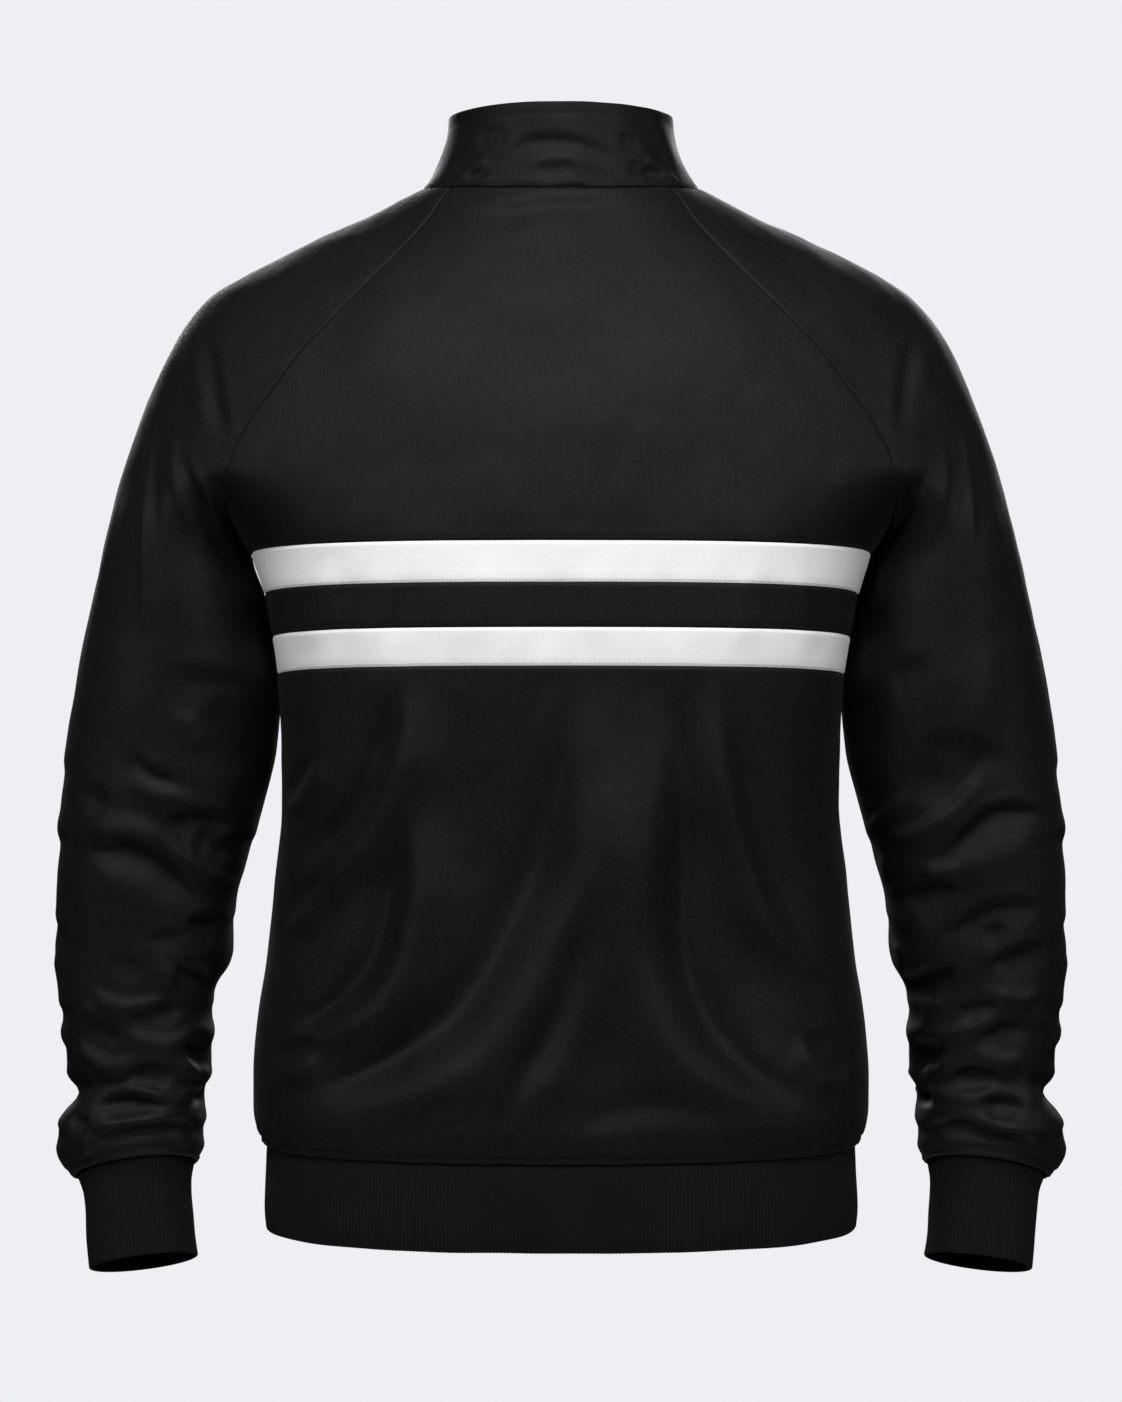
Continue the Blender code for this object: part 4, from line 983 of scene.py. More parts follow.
@dataclass
class Panel:
    """A cut piece of cloth as a grid of places with a wall behind them.

    The finished face is the form moved out along its normals by `lift`, and the wrong side lies `thick`
    behind it. From the row `closed_from` on, the first and last places of each row are one.
    """

    name: str
    form: Array
    wall: float
    closed_from: int = OPEN_TUBE
    lift: Array = field(init=False)
    thick: Array = field(init=False)
    outward: Array = field(init=False)
    down: Array = field(init=False)
    across: Array = field(init=False)

    def __post_init__(self) -> None:
        """Measure the form: its normals and the distances run down and across it."""
        self.lift = np.zeros(self.form.shape[:2])
        self.thick = np.full(self.form.shape[:2], self.wall)
        self.outward = self.normals(self.form)
        self.down = run_along(self.form, 0)
        self.across = run_along(self.form, 1)

    def normals(self, points: Array) -> Array:
        """Outward unit normals: the step along a row crossed with the step down.

        Args:
            points: the grid.

        Returns:
            The normals.
        """
        along, down = np.gradient(points, axis=1), np.gradient(points, axis=0)
        shut = slice(min(self.closed_from, len(points)), None)
        along[shut, 0] = along[shut, -1] = points[shut, 1] - points[shut, -2]
        return unit(np.cross(along, down))

    def from_edge(self, edge: Edge) -> Array:
        """Distance of each place from an edge; a closed tube has no first and last edge.

        Args:
            edge: the edge.

        Returns:
            The distances.
        """
        if edge is Edge.TOP:
            return self.down
        if edge is Edge.BOTTOM:
            return self.down[-1] - self.down
        away = self.across if edge is Edge.FIRST else self.across[:, -1:] - self.across
        row = np.arange(len(away))[:, None] - self.closed_from
        return away + SEAM_END_FADE * eased(1 + row / SEAM_END_ROWS) + np.where(row > 0, 1.0, 0.0)

    def sew(self, *edges: Edge, dip: float = 0.0008, reach: float = 0.0018) -> "Panel":
        """Turn edges in at their seams: the face sinks by the dip, easing out over the reach.

        Args:
            edges: the edges.
            dip: at the edge.
            reach: from the edge.

        Returns:
            The panel.
        """
        for edge in edges:
            self.lift -= dip * (1 - eased(self.from_edge(edge) / reach))
        return self

    def roll(self, *edges: Edge) -> "Panel":
        """Round free edges: face and back close up on a half circle as deep as half the wall.

        Args:
            edges: the edges.

        Returns:
            The panel.
        """
        for edge in edges:
            share = np.clip(self.from_edge(edge) / (ROLL_SHARE * self.wall), 0.0, 1.0)
            left = np.sqrt(np.maximum(1 - (1 - share) ** 2, ROLL_LEAST))
            self.lift -= self.wall / 2 * (1 - left)
            self.thick *= left
        return self

    def groove(self, edge: Edge, distance: float, depth: float = 0.00025, width: float = 0.0009) -> "Panel":
        """Sink a line of stitching: a bell-shaped groove at a distance from an edge."""
        self.lift -= depth * np.exp(-((self.from_edge(edge) - distance) / width) ** 2)
        return self

    def welt(self, edge: Edge, width: float = 0.0052, rise: float = 0.0011) -> "Panel":
        """Raise the turned seam edge: half a sine over its width, with a groove above it."""
        self.lift += rise * np.sin(pi * np.clip(self.from_edge(edge) / width, 0.0, 1.0)) ** 0.7
        return self.groove(edge, width + 0.0006, depth=0.0009, width=0.0012)

    def gather(self, edge: Edge, height: float, pitch: float, reach: float, seed: int) -> "Panel":
        """Pucker the cloth above a seam: two sines of uneven pitch that fade out over the reach.

        Args:
            edge: the sewn edge.
            height: of the puckers.
            pitch: of the shorter sine.
            reach: from the edge.
            seed: of their phases.

        Returns:
            The panel.
        """
        random = np.random.default_rng(seed)
        phase = random.uniform(0.0, 2 * pi, 3)
        run = self.across if edge in (Edge.TOP, Edge.BOTTOM) else self.down
        wander = GATHER_WANDER * np.sin(run * 2 * pi / (pitch * WANDER_PITCHES) + phase[0])
        wave = np.sin(run * 2 * pi / pitch + wander + phase[1])
        wave += GATHER_SECOND * np.sin(run * 2 * pi / (pitch * SECOND_PITCHES) + phase[2])
        away = self.from_edge(edge)
        self.lift += height * wave * np.exp(-(away / reach) ** 1.3) * eased(away / 0.003)
        return self

    def fold(self, marks: tuple[Fold, ...], *ripples: Ripple) -> "Panel":
        """Add folds and ripples, calmed at the seams.

        Args:
            marks: the folds.
            ripples: the small waves.

        Returns:
            The panel.
        """
        points, outward = self.form.reshape(-1, 3), self.outward.reshape(-1, 3)
        rise = np.zeros(len(points))
        for view in View:
            places, weight = seen_from(view, points, outward)
            shown = np.flatnonzero(weight > 0)
            for mark in marks:
                if mark.view is view and len(shown):
                    rise[shown] += weight[shown] * fold_rise(mark, places[shown])
        for ripple in ripples:
            rise += ripple.rise(points)
        for line, reach in FORM.seams():
            nearest = np.full(len(points), np.inf)
            for start in range(0, len(points), CHUNK):
                part = points[start:start + CHUNK]
                square = (part ** 2).sum(1)[:, None] + (line ** 2).sum(1)[None] - 2 * part @ line.T
                nearest[start:start + CHUNK] = square.min(axis=1)
            rise *= eased(np.sqrt(np.maximum(nearest, 0.0)) / reach)
        self.lift += rise.reshape(self.lift.shape)
        return self

    def calm_at_zip(self, clear: float = 0.007, reach: float = 0.014) -> "Panel":
        """Flatten the front beside the zip: no fold within the clear distance, all of it past the reach.

        Args:
            clear: from the middle.
            reach: beyond that.

        Returns:
            The panel.
        """
        beside = eased((np.abs(self.form[..., 0]) - clear) / reach)
        self.lift *= np.where(self.form[..., 1] < 0, beside, 1.0)
        return self

    def face(self) -> Array:
        """Places of the finished face."""
        return self.form + self.outward * self.lift[..., None]

    def line_at(self, edge: Edge, distance: float) -> tuple[Array, Array]:
        """Trace the finished face at a distance from an edge.

        Args:
            edge: the edge.
            distance: in metres.

        Returns:
            The places of the line and the face's normals there.
        """
        away, face = self.from_edge(edge), self.face()
        outward = self.normals(face)
        if edge in (Edge.FIRST, Edge.LAST):
            away, face, outward = away.T, face.transpose(1, 0, 2), outward.transpose(1, 0, 2)
        if edge in (Edge.BOTTOM, Edge.LAST):
            away, face, outward = away[::-1], face[::-1], outward[::-1]
        place = np.clip((away < distance).sum(axis=0) - 1, 0, len(away) - 2)
        pick = np.arange(away.shape[1])
        low, high = away[place, pick], away[place + 1, pick]
        share = ((distance - low) / np.maximum(high - low, 1e-9))[:, None]
        line = face[place, pick] * (1 - share) + face[place + 1, pick] * share
        return line, unit(outward[place, pick] * (1 - share) + outward[place + 1, pick] * share)

    def build(self) -> bpy.types.Object:
        """Make the closed wall: face, wrong side and rims, with a cloth map in metres.

        Returns:
            The piece.
        """
        rows, columns = self.form.shape[:2]
        face = self.face()
        back = face - self.outward * self.thick[..., None]
        grid = np.arange(rows * columns).reshape(rows, columns)
        flat = grid.copy()
        if self.closed_from < rows:
            grid[self.closed_from:, -1] = grid[self.closed_from:, 0]
        behind, flat_behind = grid + rows * columns, flat + rows * columns

        def quads(front: Array, wrong: Array) -> Array:
            """Corners of every face, for one numbering of the places.

            Args:
                front: numbers on the face.
                wrong: numbers on the wrong side.

            Returns:
                Four numbers for each face.
            """
            skin = np.stack([front[:-1, :-1], front[:-1, 1:], front[1:, 1:], front[1:, :-1]], axis=-1)
            lining = np.stack([wrong[:-1, :-1], wrong[1:, :-1], wrong[1:, 1:], wrong[:-1, 1:]], axis=-1)
            top = np.stack([front[0, 1:], front[0, :-1], wrong[0, :-1], wrong[0, 1:]], axis=-1)
            foot = np.stack([front[-1, :-1], front[-1, 1:], wrong[-1, 1:], wrong[-1, :-1]], axis=-1)
            open_rows = min(self.closed_from, rows - 1)
            a, b = slice(0, open_rows), slice(1, open_rows + 1)
            first = np.stack([front[a, 0], front[b, 0], wrong[b, 0], wrong[a, 0]], axis=-1)
            last = np.stack([front[b, -1], front[a, -1], wrong[a, -1], wrong[b, -1]], axis=-1)
            return np.concatenate([part.reshape(-1, 4) for part in (skin, lining, top, foot, first, last)])

        faces, flat_faces = quads(grid, behind), quads(flat, flat_behind)
        points = np.concatenate((face.reshape(-1, 3), back.reshape(-1, 3)))
        middle = self.across[:, -1:] / 2
        chart = np.stack([self.across - middle, -self.down], axis=-1).reshape(-1, 2)
        chart = np.concatenate((chart, chart))
        used, faces = np.unique(faces, return_inverse=True)
        corners = chart[flat_faces].reshape(-1, 2)
        return solid(self.name + "_cloth", points[used], faces.reshape(-1, 4), corners)

    def area(self) -> float:
        """Area of the form, in square metres."""
        along, down = np.diff(self.form, axis=1)[:-1], np.diff(self.form, axis=0)[:, :-1]
        return float(np.linalg.norm(np.cross(along, down), axis=-1).sum())


def solid(name: str, points: Array, faces: Array, chart: Array | None = None) -> bpy.types.Object:
    """Make an object from places and faces that all have the same number of corners.

    Args:
        name: of the object.
        points: n by 3.
        faces: m by corners.
        chart: a place on the flat cloth for each corner, in metres.

    Returns:
        The object, linked to the scene.
    """
    mesh = bpy.data.meshes.new(name)
    mesh.vertices.add(len(points))
    mesh.vertices.foreach_set("co", points.astype(np.float32).ravel())
    mesh.loops.add(faces.size)
    mesh.loops.foreach_set("vertex_index", faces.astype(np.int32).ravel())
    mesh.polygons.add(len(faces))
    mesh.polygons.foreach_set("loop_start", np.arange(0, faces.size, faces.shape[1], dtype=np.int32))
    mesh.update(calc_edges=True)
    mesh.shade_smooth()
    if chart is not None:
        layer = mesh.uv_layers.new(name="cloth")
        layer.uv.foreach_set("vector", chart.astype(np.float32).ravel())
    item = bpy.data.objects.new(name, mesh)
    bpy.context.scene.collection.objects.link(item)
    return item


def repeated(name: str, centres: Array, frames: Array, corners: Array, faces: Array) -> bpy.types.Object:
    """Repeat a small closed form: its corners times each frame, moved to each centre.

    Args:
        name: of the object.
        centres: n by 3.
        frames: n by 3 by 3, the rows being the form's three axes.
        corners: k by 3, in metres along those axes.
        faces: indices of the form's corners.

    Returns:
        The object.
    """
    points = centres[:, None] + np.einsum("kj,njd->nkd", corners, frames)
    numbers = faces[None] + (np.arange(len(centres)) * len(corners))[:, None, None]
    return solid(name, points.reshape(-1, 3), numbers.reshape(-1, faces.shape[1]))


def frames_along(line: Array, outward: Array, at: Array) -> tuple[Array, Array]:
    """Stand frames on a line: along it, across it and outwards.

    Args:
        line: places of the line.
        outward: normals there.
        at: distances along the line.

    Returns:
        The frames' centres and their three axes.
    """
    length = run_along(line, 0)
    centres = read_line(line, length, at)
    along = unit(read_line(line, length, at + HALF_STITCH) - read_line(line, length, at - HALF_STITCH))
    up = read_line(outward, length, at)
    up = unit(up - along * (along * up).sum(-1, keepdims=True))
    return centres, np.stack([along, np.cross(up, along), up], axis=1)


BEAD_CORNERS = np.array([(1, 0, 0), (-1, 0, 0), (0, 1, 0), (0, -1, 0), (0, 0, 1), (0, 0, -1)], dtype=float)
BEAD_FACES = np.array([
    (0, 2, 4), (2, 1, 4), (1, 3, 4), (3, 0, 4), (2, 0, 5), (1, 2, 5), (3, 1, 5), (0, 3, 5)])
BLOCK_CORNERS = np.array([(x, y, z) for z in (-1, 1) for y in (-1, 1) for x in (-1, 1)], dtype=float)
BLOCK_FACES = np.array([(0, 2, 3, 1), (4, 5, 7, 6), (0, 1, 5, 4), (2, 6, 7, 3), (0, 4, 6, 2), (1, 3, 7, 5)])


@dataclass
class Stitching:
    """Rows of lockstitch along a panel's edges: a thin eight-sided bead of thread for each stitch."""

    panel: Panel
    thread: bpy.types.Material
    rows: tuple[tuple[Edge, float], ...]
    pitch: float = 0.0027
    length: float = 0.0020
    width: float = 0.0006
    proud: float = 0.00012

    def build(self) -> bpy.types.Object:
        """Make the beads of every row, a little short of its ends, as one piece.

        Returns:
            The piece.
        """
        centres, frames = [], []
        for edge, distance in self.rows:
            line, outward = self.panel.line_at(edge, distance)
            at = np.arange(self.pitch, run_along(line, 0)[-1] - self.pitch / 2, self.pitch)
            places, axes = frames_along(line, outward, at)
            centres.append(places + axes[:, 2] * self.proud)
            frames.append(axes)
        bead = BEAD_CORNERS * np.array((self.length, self.width, self.width * 0.8)) / 2
        name = self.panel.name + "_stitching"
        return repeated(name, np.concatenate(centres), np.concatenate(frames), bead, BEAD_FACES)


# ---------------------------------------------------------------- materials
class Signal:
    """A number that runs through a material's nodes, with arithmetic that adds Math nodes."""

    def __init__(self, mixer: "Mixer", socket: bpy.types.NodeSocket) -> None:
        """Wrap a node's output."""
        self.mixer = mixer
        self.socket = socket

    def _with(self, operation: str, *second: "Signal | float") -> "Signal":
        """Add one Math node, with a second value where the operation takes one."""
        values = dict(enumerate((self, *second)))
        return self.mixer.node("ShaderNodeMath", {"operation": operation}, values).out("Value")

    def __add__(self, other: "Signal | float") -> "Signal":
        """Sum."""
        return self._with("ADD", other)

    def __sub__(self, other: "Signal | float") -> "Signal":
        """Difference."""
        return self._with("SUBTRACT", other)

    def __mul__(self, other: "Signal | float") -> "Signal":
        """Product."""
        return self._with("MULTIPLY", other)

    def sine(self) -> "Signal":
        """Sine of an angle."""
        return self._with("SINE")

    def absolute(self) -> "Signal":
        """Value without its sign."""
        return self._with("ABSOLUTE")


class Step:
    """One node of a material, whose outputs are read as signals."""

    def __init__(self, mixer: "Mixer", node: bpy.types.Node) -> None:
        """Wrap a node."""
        self.mixer = mixer
        self.item = node

    def out(self, name: str) -> Signal:
        """Output of that name."""
        return Signal(self.mixer, self.item.outputs[name])


class Mixer:
    """Builds one material out of nodes."""

    def __init__(self, name: str) -> None:
        """Start an empty material.

        Args:
            name: of the material.
        """
        self.material = bpy.data.materials.new(name)
        self.material.use_nodes = True
        self.tree = self.material.node_tree
        self.tree.nodes.clear()

    def node(self, kind: str, settings: dict, values: dict) -> Step:
        """Add a node.

        Args:
            kind: its type.
            settings: properties that are set first.
            values: a number, colour or signal for each named or numbered input.

        Returns:
            The node.
        """
        item = self.tree.nodes.new(kind)
        for name, value in settings.items():
            setattr(item, name, value)
        for name, value in values.items():
            if isinstance(value, Signal):
                self.tree.links.new(value.socket, item.inputs[name])
            else:
                item.inputs[name].default_value = value
        return Step(self, item)

    def noise(self, scale: float, detail: float = 2.0) -> Signal:
        """Noise of the place in space, from 0 to 1.

        Args:
            scale: cells to a metre.
            detail: its octaves.

        Returns:
            The noise.
        """
        place = self.node("ShaderNodeTexCoord", {}, {}).out("Object")
        values = {"Vector": place, "Scale": scale, "Detail": detail}
        return self.node("ShaderNodeTexNoise", {}, values).out("Fac")

    def chart(self) -> tuple[Signal, Signal]:
        """Place on the flat cloth: across and along it, in metres.

        Returns:
            Both distances.
        """
        place = self.node("ShaderNodeUVMap", {"uv_map": "cloth"}, {}).out("UV")
        parts = self.node("ShaderNodeSeparateXYZ", {}, {"Vector": place})
        return parts.out("X"), parts.out("Y")

    def blend(self, share: Signal, first: tuple, second: tuple) -> Signal:
        """Mix two colours.

        Args:
            share: of the second.
            first: where it is 0.
            second: where it is 1.

        Returns:
            The colour.
        """
        item = self.node("ShaderNodeMix", {"data_type": "RGBA"}, {0: share})
        item.item.inputs[6].default_value = (*first, 1.0)
        item.item.inputs[7].default_value = (*second, 1.0)
        return Signal(self, item.item.outputs[2])

    def finish(self, colour: Signal, roughness: Signal, relief: Signal, depth: float,
               settled: dict) -> bpy.types.Material:
        """Close the material with a Principled shader.

        Args:
            colour: base colour.
            roughness: roughness.
            relief: height of the surface's grain, from 0 to 1.
            depth: of that grain in metres.
            settled: values that are the same all over.

        Returns:
            The material.
        """
        grain = {"Strength": 0.6, "Distance": depth, "Height": relief}
        bump = self.node("ShaderNodeBump", {}, grain).out("Normal")
        values = {"Base Color": colour, "Roughness": roughness, "Normal": bump, **settled}
        shader = self.node("ShaderNodeBsdfPrincipled", {}, values).out("BSDF")
        self.node("ShaderNodeOutputMaterial", {}, {"Surface": shader})
        return self.material


@dataclass(frozen=True)
class Tricot:
    """Warp-knit cloth: fine wales down the cloth, faint courses across it, a soft sheen."""

    name: str
    dark: tuple[float, float, float]
    light: tuple[float, float, float]
    wale: float = 0.0010
    course: float = 0.0008
    roughness: float = 0.60
    gloss: float = 0.165
    sheen: float = 0.02

    def material(self) -> bpy.types.Material:
        """Relief is a sine down each wale and a weaker one across; the tone wanders slowly.

        Returns:
            The material.
        """
        mixer = Mixer(self.name)
        across, along = mixer.chart()
        wales = (across * (2 * pi / self.wale)).sine()
        courses = (along * (2 * pi / self.course) + wales * 1.4).sine()
        fuzz = mixer.noise(1400.0, 3.0)
        grain = mixer.noise(480.0, 3.0)
        relief = wales * 0.28 + courses * 0.18 + fuzz * 0.4 + grain * 1.1 + 0.3
        tone = mixer.noise(14.0, 4.0) * 0.35 + grain * 0.65
        colour = mixer.blend(tone * 3.0 - 1.0, self.dark, self.light)
        roughness = mixer.noise(30.0, 2.0) * 0.10 + fuzz * 0.08 + (self.roughness - 0.09)
        settled = {"Specular IOR Level": self.gloss, "Sheen Weight": self.sheen, "Sheen Roughness": 0.4}
        return mixer.finish(colour, roughness, relief, 0.00014, settled)


@dataclass(frozen=True)
class RibKnit:
    """Matt rib knit: stitches across each rib, a fibrous surface, lighter where it is rubbed."""

    name: str = "rib knit"

    def material(self) -> bpy.types.Material:
        """Relief is the stitches' sine along the rib, leaning to both sides of it, with coarse fuzz.

        Returns:
            The material.
        """
        mixer = Mixer(self.name)
        across, along = mixer.chart()
        lean = (across * (2 * pi / (RIB_PITCH / 2))).sine()
        stitch = (along * (2 * pi / 0.0011) + lean * 1.2).sine()
        fuzz = mixer.noise(1100.0, 4.0)
        relief = stitch * 0.3 + fuzz * 0.7 + 0.3
        tone = mixer.noise(22.0, 3.0) * 0.6 + fuzz * 0.4
        colour = mixer.blend(tone, BLACK_RIB, BLACK_RIB_WORN)
        roughness = fuzz * 0.12 + 0.74
        settled = {"Specular IOR Level": 0.08, "Sheen Weight": 0.02, "Sheen Roughness": 0.5}
        return mixer.finish(colour, roughness, relief, 0.00022, settled)


@dataclass(frozen=True)
class Thread:
    """Plied polyester thread."""

    name: str
    colour: tuple[float, float, float]

    def material(self) -> bpy.types.Material:
        """Fine noise for the twist, on colour, roughness and relief alike.

        Returns:
            The material.
        """
        mixer = Mixer(self.name)
        twist = mixer.noise(2600.0, 2.0)
        light = tuple(1.5 * part + 0.004 for part in self.colour)
        colour = mixer.blend(twist, self.colour, light)
        return mixer.finish(colour, twist * 0.2 + 0.42, twist, 0.00008, {"Specular IOR Level": 0.4})


@dataclass(frozen=True)
class WovenTape:
    """Zip tape in a fine herringbone."""

    name: str = "zip tape"

    def material(self) -> bpy.types.Material:
        """Relief is a sine on a diagonal that turns back every three millimetres.

        Returns:
            The material.
        """
        mixer = Mixer(self.name)
        across, along = mixer.chart()
        turning = (across * (2 * pi / 0.003)).sine().absolute()
        weave = (along * (2 * pi / 0.0008) + turning * 5.0).sine()
        fuzz = mixer.noise(1500.0, 2.0)
        colour = mixer.blend(fuzz, BLACK_TAPE, tuple(2 * part for part in BLACK_TAPE))
        return mixer.finish(colour, fuzz * 0.15 + 0.6, weave * 0.3 + fuzz * 0.4 + 0.3, 0.00015,
                            {"Specular IOR Level": 0.3})


@dataclass(frozen=True)
class DarkMetal:
    """Darkened zinc, rubbed a little: uneven tone and gloss."""

    name: str = "dark metal"

    def material(self) -> bpy.types.Material:
        """Slow noise moves the tone and roughness, fine noise gives a cast grain.

        Returns:
            The material.
        """
        mixer = Mixer(self.name)
        rub, grain = mixer.noise(260.0, 3.0), mixer.noise(2200.0, 2.0)
        colour = mixer.blend(rub, DARK_METAL, tuple(2.6 * part for part in DARK_METAL))
        return mixer.finish(colour, rub * 0.22 + 0.24, grain, 0.00004, {"Metallic": 0.9})


# ---------------------------------------------------------------- the jacket's pieces
@dataclass(frozen=True)
class Cut:
    """What a piece was cut from: its slot, flat size and how it is held."""

    slot: Slot
    flat: tuple[float, float]
    area: float | None = None
    held: str = "hung"
    rests_on: tuple[str, ...] = ()


def settle(item: bpy.types.Object, material: bpy.types.Material, slot: Slot, *nodes: str) -> bpy.types.Object:
    """Dress a piece, let it ride on the jacket and stand for its CAD nodes.

    Args:
        item: the piece.
        material: its finish.
        slot: not used.
        nodes: CAD nodes that it replaces.

    Returns:
        The piece.
    """
    item.data.materials.append(material)
    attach(item, "jacket")
    if nodes:
        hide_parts(*nodes)
    count = sum(len(face.vertices) - 2 for face in item.data.polygons)
    LOG.info("%s: %d triangles", item.name, count)
    return item


def make_cloth(panel: Panel, material: bpy.types.Material, cut: Cut, sewn: Stitching | None = None) -> None:
    """Make and dress a panel's cloth and the stitches on it.

    Args:
        panel: the cut piece.
        material: its finish.
        cut: its slot and flat size.
        sewn: its stitching.
    """
    item = settle(panel.build(), material, cut.slot, panel.name)
    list([settle(sewn.build(), sewn.thread, cut.slot)] if sewn else [])
    LOG.info("%s: form %.4f m2", panel.name, panel.area())


BODY_RIPPLES = (Ripple(11, 0.00035, 0.060, 0.120), Ripple(12, 0.00010, 0.018, 0.040))
ARM_RIPPLES = (Ripple(21, 0.0004, 0.035, 0.080), Ripple(22, 0.00012, 0.014, 0.030))
COLLAR_RIPPLE = Ripple(31, 0.0005, 0.024, 0.050)
HEM_RIPPLE = Ripple(81, 0.0005, 0.040, 0.090)
CUFF_RIPPLE = Ripple(82, 0.0004, 0.025, 0.060)
BODY_FOLDS = (
    *folds(View.BEHIND, BACK_RIBBON_ROWS, BACK_RIBBON_SHARE, relief=Relief.RIBBON),
    *folds(View.BEHIND, BACK_ROWS),
    *folds(View.FRONT, turned(BACK_RIBBON_ROWS), FRONT_RIBBON_SHARE, relief=Relief.RIBBON),
    *folds(View.FRONT, FRONT_ROWS),
)


@dataclass
class Back:
    """The five pieces of the back: yoke panel, two bands, the strip between them and the lower panel."""

    black: bpy.types.Material
    white: bpy.types.Material
    black_thread: bpy.types.Material
    white_thread: bpy.types.Material
    names: tuple[str, ...] = ("back_upper", "back_band_upper", "back_strip", "back_band_lower", "back_lower")
    cuts: tuple[Cut, ...] = (
        Cut(Slot.BLACK_TRICOT, (0.46, 0.26), 0.090),
        Cut(Slot.WHITE_TRICOT, (0.56, 0.030)),
        Cut(Slot.BLACK_TRICOT, (0.55, 0.031)),
        Cut(Slot.WHITE_TRICOT, (0.54, 0.028)),
        Cut(Slot.BLACK_TRICOT, (0.56, 0.33)),
    )

    def panel(self, number: int) -> Panel:
        """Grid of one piece: level rows that droop with the square of the share.

        Args:
            number: the piece's number, from the neck down.

        Returns:
            The panel.
        """
        droops = (0.0, BAND_DROOP, BAND_DROOP, BAND_DROOP, BAND_DROOP, 0.0)
        edges = (NECK_HEIGHT, *BAND_EDGES, HEM_SEAM_HEIGHT)
        top, foot = edges[number] - SEAM_GAP / 2, edges[number + 1] + SEAM_GAP / 2
        probe = np.linspace(-1.0, 1.0, 600)
        shares = spread_evenly(probe, FORM.back((top + 3 * foot) / 4, probe), PANEL_PITCH)
        steps = np.linspace(0.0, 1.0, 400)
        down = spread_evenly(steps, FORM.back(top + (foot - top) * steps, 0.5), PANEL_PITCH)[:, None]
        upper = top - droops[number] * shares ** 2
        lower = foot - droops[number + 1] * shares ** 2
        heights = upper + (lower - upper) * down
        points = FORM.back(heights, np.broadcast_to(shares, heights.shape))
        panel = Panel(self.names[number], points, BODY_WALL)
        panel.fold(BODY_FOLDS, *BODY_RIPPLES).sew(Edge.FIRST, Edge.LAST, Edge.TOP)
        if number == len(self.cuts) - 1:
            return panel.welt(Edge.BOTTOM).gather(Edge.BOTTOM, *HEM_GATHER, seed=47)
        panel.sew(Edge.BOTTOM).groove(Edge.BOTTOM, BAND_STITCH)
        return panel.gather(Edge.BOTTOM, *BAND_GATHER, seed=40 + number)

    def build(self) -> None:
        for number, cut in enumerate(self.cuts):
            panel = self.panel(number)
            white = cut.slot is Slot.WHITE_TRICOT
            thread = self.white_thread if white else self.black_thread
            sewn = Stitching(panel, thread, ((Edge.BOTTOM, BAND_STITCH),))
            last = number == len(self.cuts) - 1
            make_cloth(panel, self.white if white else self.black, cut, None if last else sewn)


@dataclass
class Fronts:
    """The two fronts, from the raglan and side seams to the zip."""

    black: bpy.types.Material
    thread: bpy.types.Material
    cut: Cut = Cut(Slot.BLACK_TRICOT, (0.28, 0.63), 0.150)
    level: float = -0.42
    zip_ease: float = 0.03

    @staticmethod
    def edges(side: Side) -> tuple[Edge, Edge]:
        """Raglan edge and middle edge of a front."""
        return (Edge.FIRST, Edge.LAST)[::side.value]

    def panel(self, side: Side) -> Panel:
        """Grid of a front: level rows, parted at the zip by a square that dies away over the ease.

        Args:
            side: which front.

        Returns:
            The panel.
        """
        top, foot = NECK_HEIGHT - SEAM_GAP / 2, HEM_SEAM_HEIGHT + SEAM_GAP / 2
        probe = np.linspace(1.0, 0.0, 600)
        shares = spread_evenly(probe, FORM.front(self.level, probe), PANEL_PITCH)
        steps = np.linspace(top, foot, 900)
        heights = spread_evenly(steps, FORM.front(steps, 0.5), PANEL_PITCH)
        points = laid_out(FORM.front, heights, shares)
        points[..., 0] += ZIP_OPENING * (1 - np.clip(points[..., 0] / self.zip_ease, 0.0, 1.0)) ** 2
        panel = Panel(side.named("front"), side.take(points), BODY_WALL)
        panel.fold(BODY_FOLDS, *BODY_RIPPLES).calm_at_zip()
        raglan, middle = self.edges(side)
        panel.sew(raglan, Edge.TOP).welt(Edge.BOTTOM).gather(Edge.BOTTOM, *HEM_GATHER, seed=50 + side.value)
        return panel.sew(middle, dip=0.0003, reach=0.0012).groove(middle, ZIP_STITCH)

    def build(self) -> None:
        """Make and dress both fronts and their rows of stitches beside the zip."""
        for side in Side:
            panel = self.panel(side)
            rows = ((self.edges(side)[1], ZIP_STITCH),)
            make_cloth(panel, self.black, self.cut, Stitching(panel, self.thread, rows))


